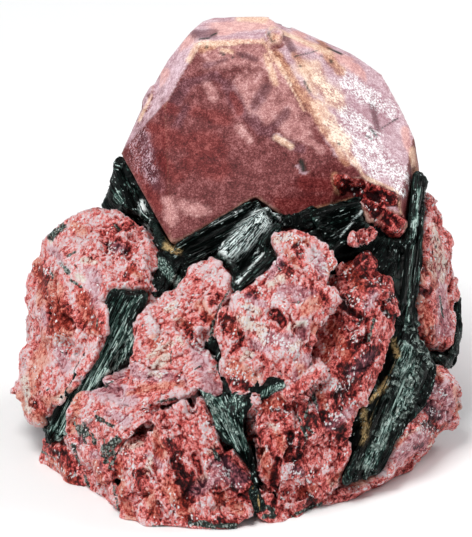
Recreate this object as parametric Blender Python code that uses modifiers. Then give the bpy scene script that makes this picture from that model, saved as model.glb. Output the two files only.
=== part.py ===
"""Eudialyte specimen: one large crystal standing on a cluster of broken crystals that dark
green aegirine binds together.  Metres, +Z up, origin at the middle of the base.

Corners are given in millimetres on the display plane, the plane in which a collector looks at
the specimen: it leans back by DISPLAY_LEAN.  A corner is (across, up, out), where out points
from the plane towards the viewer.  The crystals round the back use upright (x, y, z) instead.
"""
import math

import bmesh
import bpy
from mathutils import Matrix, Vector, noise

MM = 0.001

# Driving dimensions, in millimetres.
DISPLAY_LEAN = math.radians(24.0)  # how far the display plane leans back from upright
PLANE_HEIGHT = 22.6                # height of the display plane's middle above the base
HEART = Vector((0.0, 0.5, 16.0))   # upright point that the broken crystals grew out from
SKIN = Vector((27.0, 25.0, 18.0))  # half-widths of the cluster of broken crystals
BURIED = 0.55                      # share of SKIN inside which nothing is roughened
WEATHERED = 0.75                   # share of SKIN outside which all is roughened
ROOT_SHARE = 0.55                  # how far a broken crystal reaches from its skin to the heart
CLEARANCE = 0.35                   # gap round the large crystal and the aegirine sprays
SOCKET_GAP = 0.55                  # room in the aegirine for a broken crystal's high spots
BASE_DEPTH = 30.0                  # depth of the block that trims the base flat

# Broken surfaces.
GRAIN = 0.6                        # mesh size while the surface is roughened
REGRAIN = 0.85                     # mesh size that rounds off slivers afterwards
CHIP_SIZE = 5.4                    # width of the larger broken facets
CHIP_DEPTH = 1.7                   # depth of those facets
CHIP_TILT = 1.4                    # how steeply they lean
PIT_SIZE = 2.2                     # width of the smaller pits
PIT_DEPTH = 0.8                    # depth of those pits
SKIN_LIFT = 1.2                    # how far the high spots stand out beyond the corners
BROKEN_TRIANGLES = 460             # triangles left on each broken crystal
SEED_STEP = 10.0                   # moves the pattern on from one broken crystal to the next
HALF = Vector((0.5, 0.5, 0.5))

# The large crystal's broken corner.
BREAK_GRAIN = 1.0
BREAK_DEPTH = 1.2
BREAK_SCALE = 1.8                  # how much finer its facets are than the broken crystals'
BREAK_TRIANGLES = 300

# Aegirine.
MASS_GRAIN = 0.9
MASS_SEED = 3.0
MASS_TRIANGLES = 580
RIB_HEIGHT = 0.35                  # height of the ribs on a spray
RIB_STEPS = 2                      # mesh steps along a spray
RIB_STAGGER = 0.1                  # how much shorter every other rib is

# Colour and roughness.
EUDIALYTE_FACE = ((0.52, 0.20, 0.20), 0.45)
EUDIALYTE_BROKEN = ((0.58, 0.14, 0.14), 0.40)
AEGIRINE = ((0.02, 0.05, 0.04), 0.35)

# The large crystal: a blunt six-sided pyramid with a small top face, and its buried foot.
MAIN_CRYSTAL = [
    (-4.6, 28.6, 0.0), (4.0, 28.2, 1.0), (5.4, 29.2, 0.3), (-5.6, 29.8, -3.0),
    (-4.2, 31.2, -6.5), (-3.0, 31.7, -7.5), (4.0, 31.8, -7.0), (-8.9, 20.4, 2.3),
    (-8.6, 26.2, -4.0), (-11.5, 21.0, -5.0), (-14.4, 14.4, -3.0), (-8.1, 3.2, 8.0),
    (12.4, 13.6, 6.9), (14.0, 13.0, 6.8), (20.5, 8.6, 5.4), (20.8, 3.8, 3.5),
    (23.1, 12.2, -3.5), (22.4, 16.4, -2.2), (20.6, 20.4, -4.0), (18.4, 24.4, -5.6),
    (14.8, 27.0, -7.5), (10.9, 28.6, -7.0), (4.5, 6.0, 5.5), (-13.0, 12.0, -14.0),
    (-7.0, 20.0, -19.0), (6.0, 24.0, -21.0), (15.0, 18.0, -20.0), (20.0, 8.0, -16.0),
    (4.0, 8.0, -26.0), (-8.0, 4.0, -18.0), (14.0, 2.0, -18.0), (2.0, -2.0, -6.0),
]
# Where the large crystal's lower right corner has broken away.
BROKEN_CORNER = [
    (12.5, 12.4, 8.5), (14.2, 12.4, 8.5), (20.6, 8.0, 7.0), (21.0, 4.0, 5.5),
    (15.0, 2.0, 8.0), (9.0, 5.0, 9.0), (14.0, 10.5, 4.6), (19.0, 6.5, 3.2),
    (15.5, 3.0, 2.0),
]
# The small growth pit where the top face meets the ridge between the front and right faces.
GROWTH_PIT = (4.6, 29.0, 1.0)
GROWTH_PIT_RADIUS = 0.9

# Broken crystals seen from the front: the corners of each one's outer skin.
FRONT_CRYSTALS = {
    "left_crystal": [[
        (-15.3, 8.4, 0.0), (-17.8, 7.5, -1.0), (-20.7, 6.6, -1.5), (-23.5, 4.3, -3.0),
        (-25.3, 0.8, -4.0), (-25.8, -3.1, -4.5), (-27.2, -9.1, -4.5), (-28.3, -15.8, -4.0),
        (-27.6, -18.3, -3.0), (-24.4, -20.9, 1.0), (-19.3, -13.6, 7.5), (-17.0, -9.9, 8.5),
        (-14.4, -4.8, 9.0), (-11.4, -2.3, 8.5), (-9.9, 0.2, 8.0), (-10.2, 2.8, 6.5),
        (-11.6, 5.6, 4.5), (-13.2, 7.5, 2.5), (-20.5, 0.0, 7.0), (-17.0, 2.5, 8.0),
        (-23.0, -10.0, 5.0), (-22.0, 3.5, -11.0), (-25.5, -7.0, -13.0), (-26.0, -14.0, -11.0),
    ]],
    "front_left_crystal": [[
        (-4.5, 1.7, 9.0), (-2.6, 1.8, 9.5), (-0.9, 0.5, 10.5), (-0.3, -1.7, 11.5),
        (-2.3, -4.9, 12.5), (-3.1, -7.7, 13.3), (-3.7, -9.6, 13.8), (-2.8, -11.4, 14.0),
        (-6.0, 0.8, 9.0), (-7.2, -1.2, 9.5), (-9.9, -3.1, 10.0), (-11.9, -4.1, 10.0),
        (-13.0, -8.1, 10.0), (-14.2, -12.0, 11.0), (-8.5, -15.6, 14.0), (-6.5, -8.0, 13.8),
    ], [
        (-3.6, -9.9, 13.8), (-2.1, -13.7, 14.3), (-1.8, -14.9, 14.3), (-4.6, -14.6, 14.8),
        (-6.4, -15.5, 15.0), (-8.9, -15.9, 14.8), (-11.4, -17.9, 13.5), (-13.0, -19.0, 12.5),
        (-15.8, -19.8, 10.5), (-19.5, -20.2, 7.0), (-20.4, -18.8, 6.3), (-20.0, -16.4, 7.0),
        (-18.3, -14.6, 8.5), (-15.8, -12.9, 10.3), (-13.8, -11.7, 11.2),
    ]],
    "left_foot_crystal": [[
        (-25.2, -22.2, 0.5), (-21.9, -21.6, 4.8), (-20.7, -23.2, 5.8), (-19.0, -26.5, 6.4),
        (-17.6, -28.2, 6.6), (-20.4, -28.6, 4.2), (-24.1, -26.4, 0.0), (-25.8, -24.0, -1.0),
        (-24.0, -21.5, -7.0), (-19.0, -24.5, -2.0),
    ]],
    "lower_front_crystal": [[
        (-19.9, -21.0, 7.0), (-15.8, -20.6, 10.2), (-12.4, -20.2, 12.8), (-9.0, -22.0, 14.4),
        (-12.0, -28.0, 14.4), (-14.6, -31.0, 13.0), (-15.8, -29.8, 11.6), (-17.2, -27.2, 9.4),
        (-18.9, -24.9, 7.2), (-20.2, -22.7, 6.2),
    ], [
        (-12.4, -19.8, 14.0), (-9.4, -16.4, 15.4), (-7.0, -15.9, 16.0), (-4.5, -16.3, 16.0),
        (-2.4, -18.6, 15.8), (0.1, -22.0, 15.8), (1.7, -24.0, 15.7), (2.6, -26.9, 15.8),
        (3.4, -31.0, 16.4), (0.5, -33.0, 16.6), (-2.4, -33.0, 16.6), (-6.2, -33.0, 16.4),
        (-12.0, -33.0, 15.4), (-15.4, -31.6, 13.6), (-15.6, -28.1, 13.0), (-15.2, -26.0, 13.0),
        (-14.4, -23.8, 13.2), (-8.0, -23.0, 17.6), (-3.0, -27.0, 17.8), (-9.0, -28.0, 17.2),
    ]],
    "centre_crystal": [[
        (3.7, 2.7, 10.5), (5.2, 4.9, 10.0), (7.6, 5.5, 10.0), (10.6, 4.2, 10.5),
        (12.8, 1.9, 11.5), (13.1, -1.0, 12.5), (12.4, -3.9, 13.8), (11.6, -7.3, 15.0),
        (10.6, -11.4, 15.6), (8.7, -15.2, 15.5), (5.9, -14.6, 15.8), (2.6, -15.1, 15.4),
        (-1.5, -15.0, 14.6), (-2.1, -12.3, 14.4), (-2.4, -8.1, 13.8), (-1.8, -5.6, 13.4),
        (-0.4, -3.0, 12.8), (2.0, -0.7, 12.2), (5.0, -3.0, 15.4), (5.0, -10.0, 17.0),
    ]],
    "right_front_crystal": [[
        (13.6, -0.5, 10.0), (14.2, 1.5, 9.0), (16.8, 2.0, 8.3), (18.6, -0.5, 8.8),
        (20.7, -3.0, 8.0), (20.5, -6.4, 8.8), (19.7, -10.2, 9.8), (17.0, -15.2, 11.5),
        (14.2, -20.6, 12.0), (10.4, -20.0, 14.4), (9.4, -16.2, 14.6), (11.3, -11.8, 14.2),
        (12.3, -7.3, 13.2), (13.2, -3.9, 12.0), (15.5, -7.0, 13.6),
    ], [
        (1.5, -16.2, 15.0), (3.9, -15.5, 15.4), (6.4, -15.3, 15.5), (8.4, -16.2, 15.2),
        (14.4, -20.6, 12.0), (13.9, -23.6, 11.5), (14.4, -25.8, 10.2), (12.2, -28.6, 11.0),
        (9.8, -30.4, 12.0), (5.9, -31.8, 13.8), (3.6, -31.8, 14.6), (2.7, -29.4, 14.8),
        (2.0, -26.4, 15.4), (1.3, -21.9, 15.8), (6.0, -22.0, 17.0), (8.5, -25.0, 15.2),
    ]],
    "right_crystal": [[
        (23.8, 9.1, -1.0), (25.9, 7.1, -3.5), (26.2, 3.6, -4.0), (26.6, 1.1, -4.0),
        (26.8, -1.9, -4.5), (27.4, -3.9, -5.0), (27.4, -7.7, -4.0), (26.5, -10.7, -2.0),
        (24.9, -10.9, 2.5), (23.1, -7.5, 4.8), (22.2, -3.9, 5.0), (21.8, 0.2, 4.8),
        (22.2, 3.6, 3.8), (23.0, 7.5, 1.5), (24.5, 5.0, -12.0), (26.0, -4.0, -13.0),
        (25.5, -10.0, -9.0),
    ]],
    "lower_right_crystal": [[
        (25.3, -11.8, 2.4), (27.9, -13.2, -0.5), (28.7, -15.8, -2.0), (28.5, -18.1, -3.0),
        (26.4, -21.2, -6.0), (23.0, -24.0, -3.0), (19.2, -26.4, 3.0), (16.3, -27.8, 6.5),
        (13.0, -29.8, 9.5), (8.0, -31.6, 12.4), (9.0, -30.2, 12.2), (13.6, -27.2, 10.4),
        (16.8, -24.4, 9.4), (20.0, -20.9, 8.8), (22.1, -18.8, 7.6), (23.2, -16.6, 6.6),
        (23.6, -14.2, 5.4), (27.0, -13.5, -9.0), (24.0, -20.0, 5.0),
    ]],
}

# Broken crystals round the back, upright: the corners of each one's outer skin.
BACK_CRYSTALS = {
    "back_left_crystal": [[
        (-23.5, 11.0, 4.0), (-23.0, 13.0, 14.0), (-19.5, 14.5, 22.0), (-15.0, 17.0, 27.0),
        (-9.0, 22.0, 25.0), (-4.0, 25.0, 20.0), (-3.0, 25.5, 12.0), (-6.0, 23.0, 1.0),
        (-12.0, 20.0, -2.0), (-20.0, 14.0, -2.0), (-14.0, 21.0, 12.0),
    ]],
    "back_right_crystal": [[
        (25.5, 8.0, 6.0), (26.0, 9.0, 16.0), (23.5, 13.0, 24.0), (16.0, 20.0, 24.0),
        (8.0, 25.5, 21.0), (0.0, 26.5, 18.0), (-1.5, 26.0, 11.0), (6.0, 25.0, 9.0),
        (16.0, 20.0, 6.0), (22.0, 13.0, 3.0), (14.0, 24.0, 16.0),
    ]],
    "back_foot_crystal": [[
        (-3.0, 24.0, 9.0), (5.0, 24.0, 7.4), (15.0, 19.0, 4.6), (21.0, 12.5, 1.4),
        (18.0, 11.0, -2.0), (8.0, 19.0, -2.0), (-3.5, 22.0, -2.0), (5.0, 24.5, 3.0),
    ]],
}

# The aegirine between the crystals: the collar round the large crystal's foot, and the body.
AEGIRINE_MASS = [[
    (-15.2, 14.2, -4.5), (-15.2, 11.4, -3.0), (-16.3, 8.2, -4.0), (-16.8, 6.0, -3.0),
    (-13.0, 13.0, -10.0), (-10.0, 4.0, 5.0), (-14.0, 0.0, 5.0), (-7.0, 1.0, 8.0),
    (3.5, 4.0, 7.5), (15.0, 6.0, 6.5), (22.8, 12.0, 0.8), (23.9, 9.0, -1.5),
    (20.8, 1.0, 6.4), (8.0, -4.0, 10.0), (23.0, 6.0, -12.0), (0.0, 6.0, -26.0),
    (14.0, 2.0, -24.0), (-10.0, 2.0, -24.0), (-16.5, 3.0, -12.0),
], [
    (-20.0, -2.0, 1.0), (-26.6, -17.0, -3.0), (-24.6, -21.6, 0.5), (-21.5, -22.2, 3.4),
    (-19.0, -17.0, 5.5), (-13.0, -6.0, 8.5), (24.5, 4.0, -3.0), (27.2, -2.0, -7.0),
    (28.3, -4.7, -7.5), (27.4, -12.4, -4.6), (24.4, -10.5, 4.9), (20.8, 1.0, 6.4),
    (22.0, -12.0, 8.8), (19.6, -20.5, 9.6), (15.2, -25.5, 10.2), (11.2, -29.3, 11.6),
    (4.0, -31.6, 12.6), (-1.0, -27.0, 13.0), (-13.0, -29.0, 11.6), (-18.6, -26.0, 6.8),
    (0.0, -16.0, 13.5), (9.0, -14.0, 13.0), (20.0, -24.0, -5.0), (24.0, -6.0, -14.0),
    (-19.0, -3.0, -13.0), (-22.0, -10.0, -15.0), (0.0, -21.0, -18.0), (12.0, -21.0, -14.0),
    (-14.0, -22.0, -12.0), (0.0, -30.0, 4.0), (-8.0, 2.0, 2.0), (8.0, 2.0, 4.0),
]]
# Aegirine sprays that stand out of the mass: the two corners of the end that the needles
# spread from, the two corners of the far end, the depth and the number of ribs.
SPRAYS = {
    "crystal_foot": (
        (-7.4, 2.6, 9.2), (-6.2, 0.8, 8.6), (5.8, 6.0, 8.2), (2.4, 8.4, 8.6), 3.0, 3),
    "silver": (
        (2.6, 6.6, 9.2), (5.2, 5.2, 9.0), (0.6, -2.2, 11.2), (-2.4, 1.6, 9.6), 3.5, 4),
    "between": (
        (4.3, 2.6, 10.4), (5.0, 1.0, 11.4), (0.0, -3.2, 12.6), (-0.5, -1.6, 11.4), 3.0, 2),
    "dark_fan": (
        (15.4, 8.4, 7.6), (16.6, 5.2, 7.8), (11.6, 2.0, 10.2), (9.0, 6.6, 8.4), 3.0, 4),
    "left_band": (
        (-11.0, -3.2, 10.2), (-15.2, -3.0, 9.8), (-24.0, -21.6, 3.2), (-20.6, -21.2, 6.4), 3.0, 3),
    "front_fan": (
        (-4.6, -14.9, 15.6), (-3.4, -14.8, 15.6), (1.6, -20.4, 15.4), (-1.2, -22.4, 16.0), 5.0, 3),
    "right_band": (
        (22.3, 12.2, 1.2), (23.6, 11.0, -0.4), (22.0, -5.0, 6.4), (20.3, -5.0, 7.8), 3.0, 2),
    "right_fan": (
        (20.8, -9.0, 9.6), (23.8, -10.6, 6.2), (17.8, -25.2, 10.4), (12.8, -27.0, 12.2), 3.0, 4),
    "right_edge": (
        (27.2, -2.4, -8.0), (28.3, -4.7, -7.5), (27.6, -12.6, -5.4), (26.4, -12.8, -4.6), 3.0, 1),
}


def seen(across, up, out):
    """Upright position, in millimetres, of a corner given on the display plane."""
    lean_cos, lean_sin = math.cos(DISPLAY_LEAN), math.sin(DISPLAY_LEAN)
    return Vector((across,
                   up * lean_sin - out * lean_cos,
                   up * lean_cos + out * lean_sin + PLANE_HEIGHT))


def upright(x, y, z):
    return Vector((x, y, z))


def link(name, work, collection):
    """Object made from a bmesh, which is freed."""
    mesh = bpy.data.meshes.new(name)
    work.to_mesh(mesh)
    work.free()
    item = bpy.data.objects.new(name, mesh)
    collection.objects.link(item)
    return item


def convex(corners, grow=0.0):
    """Bmesh of the convex block on upright corners, its faces pushed out by grow."""
    work = bmesh.new()
    for corner in corners:
        work.verts.new(corner * MM)
    made = bmesh.ops.convex_hull(work, input=work.verts)
    bmesh.ops.delete(work, geom=list(set(made["geom_interior"])), context="VERTS")
    bmesh.ops.recalc_face_normals(work, faces=work.faces)
    if grow:
        shifts = [v.normal * v.calc_shell_factor() * grow * MM for v in work.verts]
        for vert, shift in zip(work.verts, shifts):
            vert.co += shift
    return work


def hull(name, corners, collection, grow=0.0):
    return link(name, convex(corners, grow), collection)


def rooted(skin):
    """Outer skin corners with their roots, pulled in towards the heart of the specimen."""
    return skin + [corner.lerp(HEART, ROOT_SHARE) for corner in skin]


def joined(name, pieces, collection):
    """One object that holds every bmesh of pieces."""
    work = bmesh.new()
    for piece in pieces:
        mesh = bpy.data.meshes.new(name)
        piece.to_mesh(mesh)
        piece.free()
        work.from_mesh(mesh)
        bpy.data.meshes.remove(mesh)
    return link(name, work, collection)


def apply_modifiers(item):
    graph = bpy.context.evaluated_depsgraph_get()
    mesh = bpy.data.meshes.new_from_object(item.evaluated_get(graph))
    item.modifiers.clear()
    old = item.data
    item.data = mesh
    bpy.data.meshes.remove(old)


def boolean(item, other, operation):
    modifier = item.modifiers.new(operation.title(), "BOOLEAN")
    modifier.operation = operation
    modifier.solver = "EXACT"
    modifier.object = other


def remesh(item, size):
    """Makes overlapping blocks one body with an even mesh."""
    modifier = item.modifiers.new("Remesh", "REMESH")
    modifier.mode = "VOXEL"
    modifier.voxel_size = size * MM
    apply_modifiers(item)


def thin_out(item, triangles):
    """Collapses edges, the flattest first, until about that many triangles are left."""
    item.data.calc_loop_triangles()
    modifier = item.modifiers.new("Decimate", "DECIMATE")
    modifier.ratio = min(1.0, triangles / len(item.data.loop_triangles))
    modifier.use_collapse_triangulate = True
    apply_modifiers(item)


def exposure(point):
    """0 where a point is buried in the specimen, rising to 1 on its outside."""
    offset = point - HEART
    reach = Vector((offset.x / SKIN.x, offset.y / SKIN.y, offset.z / SKIN.z)).length
    return max(0.0, min(1.0, (reach - BURIED) / (WEATHERED - BURIED)))


def chips(point, seed):
    """Depth, 0 to 1, of broken facets: flat cells, each with its own depth and lean."""
    place = point / CHIP_SIZE + Vector((seed, 0.0, 0.0))
    cell = noise.voronoi(place)[1][0]
    level = 0.5 + 0.6 * noise.noise(cell * 3.7)
    lean = (noise.cell_vector(cell * 9.1) - HALF) * CHIP_TILT
    return max(0.0, min(1.0, level + (place - cell).dot(lean)))


def pits(point, seed):
    """Depth, 0 to 1, of small pits."""
    return max(0.0, noise.noise(point / PIT_SIZE + Vector((0.0, seed, 0.0)))) * 1.4


def roughen(item, seed):
    """Breaks the exposed skin: lifts it a little, then pushes it in, in steps and pits."""
    mesh = item.data
    normals = [v.normal.copy() for v in mesh.vertices]
    for vert, normal in zip(mesh.vertices, normals):
        point = vert.co / MM
        outward = (point - HEART).normalized()
        lift = SKIN_LIFT * max(0.0, normal.dot(outward)) ** 4
        depth = CHIP_DEPTH * chips(point, seed) + PIT_DEPTH * pits(point, seed)
        vert.co += (outward * lift - normal * depth) * exposure(point) * MM
    mesh.update()


def spray_mesh(ends, depth, ribs):
    """Bmesh of a ribbed slab between the end that the needles spread from and the far end."""
    near_a, near_b, far_b, far_a = (seen(*corner) for corner in ends)
    out = (seen(0.0, 0.0, 1.0) - seen(0.0, 0.0, 0.0))
    work = bmesh.new()
    columns = 2 * ribs
    bmesh.ops.create_grid(work, x_segments=columns, y_segments=RIB_STEPS, size=0.5)
    for vert in work.verts:
        column, along = vert.co.x + 0.5, vert.co.y + 0.5
        standing = round(column * columns) % 2
        ridge = RIB_HEIGHT if standing else 0.0
        reach = along if standing else along * (1.0 - RIB_STAGGER)
        place = near_a.lerp(near_b, column).lerp(far_a.lerp(far_b, column), reach)
        vert.co = (place + out * ridge) * MM
    made = bmesh.ops.extrude_face_region(work, geom=work.faces[:])
    lower = [item for item in made["geom"] if isinstance(item, bmesh.types.BMVert)]
    bmesh.ops.translate(work, verts=lower, vec=-out * depth * MM)
    bmesh.ops.recalc_face_normals(work, faces=work.faces)
    return work


def spray_corners(ends, depth):
    """Corners of the plain slab that holds a spray, ribs and all."""
    out = (seen(0.0, 0.0, 1.0) - seen(0.0, 0.0, 0.0))
    faces = [seen(*corner) for corner in ends]
    return [c + out * RIB_HEIGHT for c in faces] + [c - out * depth for c in faces]


def base_block(collection):
    """The space under the specimen, which trims every piece flat."""
    work = bmesh.new()
    bmesh.ops.create_cube(work, size=1.0)
    for vert in work.verts:
        vert.co = Vector((vert.co.x * 0.2, vert.co.y * 0.2, (vert.co.z - 0.5) * BASE_DEPTH * MM))
    return link("base_block", work, collection)


def cut(item, cutters):
    for cutter in cutters:
        boolean(item, cutter, "DIFFERENCE")
    apply_modifiers(item)
    keep_largest(item)


def keep_largest(item):
    """Drops the crumbs that cutting leaves beside the main body."""
    work = bmesh.new()
    work.from_mesh(item.data)
    unseen = set(work.verts)
    islands = []
    while unseen:
        island, waiting = set(), [unseen.pop()]
        while waiting:
            vert = waiting.pop()
            island.add(vert)
            for edge in vert.link_edges:
                other = edge.other_vert(vert)
                if other in unseen:
                    unseen.discard(other)
                    waiting.append(other)
        islands.append(island)
    largest = max(islands, key=len)
    crumbs = [v for island in islands if island is not largest for v in island]
    bmesh.ops.delete(work, geom=crumbs, context="VERTS")
    work.to_mesh(item.data)
    work.free()


def broken_crystal(name, skins, seed, cutters, collection):
    item = joined(name, [convex(rooted(skin)) for skin in skins], collection)
    remesh(item, GRAIN)
    roughen(item, seed)
    remesh(item, REGRAIN)
    thin_out(item, BROKEN_TRIANGLES)
    cut(item, cutters)
    return item


def main_crystal(cutters, helpers, collection):
    """The large crystal, with its broken corner and its growth pit."""
    item = hull("main_crystal", [seen(*corner) for corner in MAIN_CRYSTAL], collection)
    corner = hull("cut_broken_corner", [seen(*c) for c in BROKEN_CORNER], helpers)
    remesh(corner, BREAK_GRAIN)
    shifts = [v.normal * (chips(v.co * BREAK_SCALE / MM, 0.0) - 0.5) for v in corner.data.vertices]
    for vert, shift in zip(corner.data.vertices, shifts):
        vert.co += shift * BREAK_DEPTH * MM
    remesh(corner, BREAK_GRAIN)
    thin_out(corner, BREAK_TRIANGLES)
    work = bmesh.new()
    bmesh.ops.create_icosphere(work, subdivisions=1, radius=GROWTH_PIT_RADIUS * MM)
    bmesh.ops.translate(work, verts=work.verts, vec=seen(*GROWTH_PIT) * MM)
    pit = link("cut_growth_pit", work, helpers)
    cut(item, [corner, pit] + cutters)
    return item


def aegirine(cutters, base, helpers, collection):
    blocks = [convex([seen(*corner) for corner in block]) for block in AEGIRINE_MASS]
    item = joined("aegirine", blocks, collection)
    remesh(item, MASS_GRAIN)
    roughen(item, MASS_SEED)
    remesh(item, MASS_GRAIN)
    thin_out(item, MASS_TRIANGLES)
    for cutter in cutters:
        boolean(item, cutter, "DIFFERENCE")
    apply_modifiers(item)
    for name, (*ends, depth, ribs) in SPRAYS.items():
        boolean(item, link(f"spray_{name}", spray_mesh(ends, depth, ribs), helpers), "UNION")
        apply_modifiers(item)
    cut(item, [base])
    return item


def skins_of(crystals, place):
    return {name: [[place(*corner) for corner in block] for block in blocks]
            for name, blocks in crystals.items()}


def stand_on_origin(items):
    """Moves the pieces sideways, so that the middle of their box is over the origin."""
    places = [vert.co for item in items for vert in item.data.vertices]
    middle = Vector()
    for axis in (0, 1):
        reach = [place[axis] for place in places]
        middle[axis] = (min(reach) + max(reach)) / 2
    for item in items:
        item.data.transform(Matrix.Translation(-middle))


def material(name, look):
    colour, roughness = look
    made = bpy.data.materials.new(name)
    made.use_nodes = True
    shader = made.node_tree.nodes["Principled BSDF"]
    shader.inputs["Base Color"].default_value = (*colour, 1.0)
    shader.inputs["Roughness"].default_value = roughness
    return made


def main():
    for item in list(bpy.data.objects):
        bpy.data.objects.remove(item)
    parts = bpy.data.collections.new("eudialyte_specimen")
    helpers = bpy.data.collections.new("cutters")
    bpy.context.scene.collection.children.link(parts)
    bpy.context.scene.collection.children.link(helpers)
    base = base_block(helpers)
    sprays = [hull(f"cut_{name}", spray_corners(ends, depth), helpers, CLEARANCE)
              for name, (*ends, depth, _ribs) in SPRAYS.items()]

    made = [main_crystal(sprays, helpers, parts)]
    sockets = [hull("cut_main", [seen(*c) for c in MAIN_CRYSTAL], helpers, CLEARANCE)]
    crystals = {**skins_of(FRONT_CRYSTALS, seen), **skins_of(BACK_CRYSTALS, upright)}
    for number, (name, skins) in enumerate(crystals.items(), 1):
        cutters = [base] + sprays + sockets
        made.append(broken_crystal(name, skins, SEED_STEP * number, cutters, parts))
        sockets += [hull(f"cut_{name}", rooted(skin), helpers, SOCKET_GAP) for skin in skins]
    made.append(aegirine(sockets, base, helpers, parts))

    stand_on_origin(made)
    looks = {"main_crystal": EUDIALYTE_FACE, "aegirine": AEGIRINE}
    for item in made:
        item.data.materials.append(material(item.name, looks.get(item.name, EUDIALYTE_BROKEN)))
    for helper in helpers.objects:
        helper.hide_render = True
        helper.display_type = "WIRE"


main()
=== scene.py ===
"""Looks of the eudialyte specimen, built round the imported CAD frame.

Lengths are millimetres inside the helpers and metres in Blender.  The specimen is described on
its display plane, which leans back by LEAN to face the viewer: a point is (across, up, out).
Marks on the skin are listed on the chart, a grid of eighths of a millimetre laid over the
display plane, counted to the right and down from its upper left corner.
"""
import math

import bmesh
import bpy
import numpy as np
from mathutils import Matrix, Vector
from mathutils.bvhtree import BVHTree
from mathutils.geometry import tessellate_polygon


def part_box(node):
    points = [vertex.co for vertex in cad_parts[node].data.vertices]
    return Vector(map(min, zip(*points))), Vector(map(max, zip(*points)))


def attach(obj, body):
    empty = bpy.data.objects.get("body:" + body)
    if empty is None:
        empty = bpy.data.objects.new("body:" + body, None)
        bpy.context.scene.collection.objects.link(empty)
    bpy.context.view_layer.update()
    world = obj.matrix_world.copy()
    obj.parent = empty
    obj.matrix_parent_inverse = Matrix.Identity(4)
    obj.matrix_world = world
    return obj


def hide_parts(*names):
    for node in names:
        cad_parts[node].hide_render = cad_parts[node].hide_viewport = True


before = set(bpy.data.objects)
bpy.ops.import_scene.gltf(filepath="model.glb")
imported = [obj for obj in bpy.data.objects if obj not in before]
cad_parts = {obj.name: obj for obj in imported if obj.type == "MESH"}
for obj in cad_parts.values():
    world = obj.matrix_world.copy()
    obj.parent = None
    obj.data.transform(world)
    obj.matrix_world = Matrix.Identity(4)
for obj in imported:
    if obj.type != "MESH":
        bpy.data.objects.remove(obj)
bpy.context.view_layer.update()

MM = 0.001
LEAN = math.radians(24.0)
PLANE_HEIGHT = 22.6     # height of the middle of the display plane above the base
CHART_MIDDLE = (236.0, 268.5)   # where the middle of the display plane is on the chart
CHART_STEP = 0.125
BODY = "root"
MAIN = "main_crystal"
MASS = "aegirine"
SOLIDS = {node: item.data for node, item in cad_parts.items()}
BROKEN = sorted(set(SOLIDS) - {MAIN, MASS})

# Mesh sizes.
BROKEN_GRID = 0.23
BACK_GRID = 0.30
MAIN_GRID = 0.30
AEGIRINE_GRID = 0.30
SLAB_GRID = 0.21
WELD = 1e-6             # corners of a CAD mesh nearer than this are one, in m
SKIN_ROUNDS = 4         # rounds of smoothing of a broken skin
FACE_ROUNDS = 3         # and of a face or a slab
HIDDEN_KEPT = 0.06      # share of the triangles kept where neighbours hide the skin
HIDDEN_GAP = 1.0        # skin this near a neighbour is hidden
HIDDEN_RIM = (6, 0.97)  # rounds of blurring of the hidden area, and the least that is thinned
HIDDEN_WEIGHT = 10.0    # how much sooner hidden skin is thinned than the rest
FILLER_BACK = -0.3      # a filler is hidden where it faces away this much
SLAB_FRONT = (0.0, 0.3)     # how far the front of a slab faces the viewer
CORNER_BLUR, CORNER_FADE = 4.0, 1.5     # how the corners of a slab share their levels

# Relief of the broken skin: width and height of each size of grain.
BROKEN_GRAINS = ((2.6, 0.33), (1.15, 0.15), (0.58, 0.06))
GRAIN_TILT = 1.5        # how steeply the facets of the grains lean
CREVICE = (0.45, 0.1)   # depth and width of the crevices between grains
GRAIN_STRETCH = 0.32    # how far places are drawn together along the grain, to lengthen it
FACE_SWELLS = ((3.0, 0.05), (0.7, 0.012))       # width and height of the swells of the faces
SEAM_REACH = 1.6        # crystals within this distance of a neighbour close up to it
SEAM_LEFT = 0.06        # gap left between them
SEAM_FADE = 1.0         # distance at which they begin to close up less
SEAM_FREE = (0.4, 1.3)  # distances between which the relief rises to its full height
KIN_REACH = 2.5         # broken crystals this near each other grow together
KIN_FADE = 1.2          # distance at which they begin to grow less
KIN_GROWTH = 0.4
FLOOR_FADE = (0.1, 1.2)  # heights between which the relief fades away towards the base
HOLLOW = (4.2, 1.1)     # width and depth of the hollows on the sides and the back
HOLLOW_START = (-0.1, 0.5)      # noise between which they deepen
CALM = 0.75             # share of the relief that a smooth place loses
CREST = (5, 0.16)       # rounds of smoothing and reach of the layer that tells crests apart
FACE_TURN = (0.38, 0.46)    # how far up a face looks where its colour turns from dark to pale: painted light from above, partly frosted etching
HEART = np.array([0.0, 0.5, 16.0])      # middle of the cluster of broken crystals
SKIN = np.array([27.0, 25.0, 18.0])     # and its half-widths

# Patches of colour on the sides and the back: their width and the noise they start at.  Glint patches are
# painted highlights.
PATCHES = {
    "mauve": (5.0, 0.10), "deep": (3.2, 0.12), "orange": (4.2, 0.14), "pink": (4.6, 0.06),
    "cream": (3.4, 0.30), "glint": (3.0, 0.14),
}
FACE_PATCHES = {
    "mauve": (8.0, 0.05), "deep": (6.0, 0.05), "pink": (7.0, 0.02), "cream": (4.0, 0.45),
}
PATCH_RISE = 0.35       # noise over which they rise to their full strength
PATCH_STRENGTH = 0.75

# Added to a piece's seed, so that each of its noises has a seed of its own.
LEVEL_SEED, CALM_SEED, RELIEF_SEED, PALE_SEED, HOLLOW_SEED, TINT_SEED, PATCH_SEED = (
    19, 20, 21, 23, 25, 30, 60)

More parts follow.
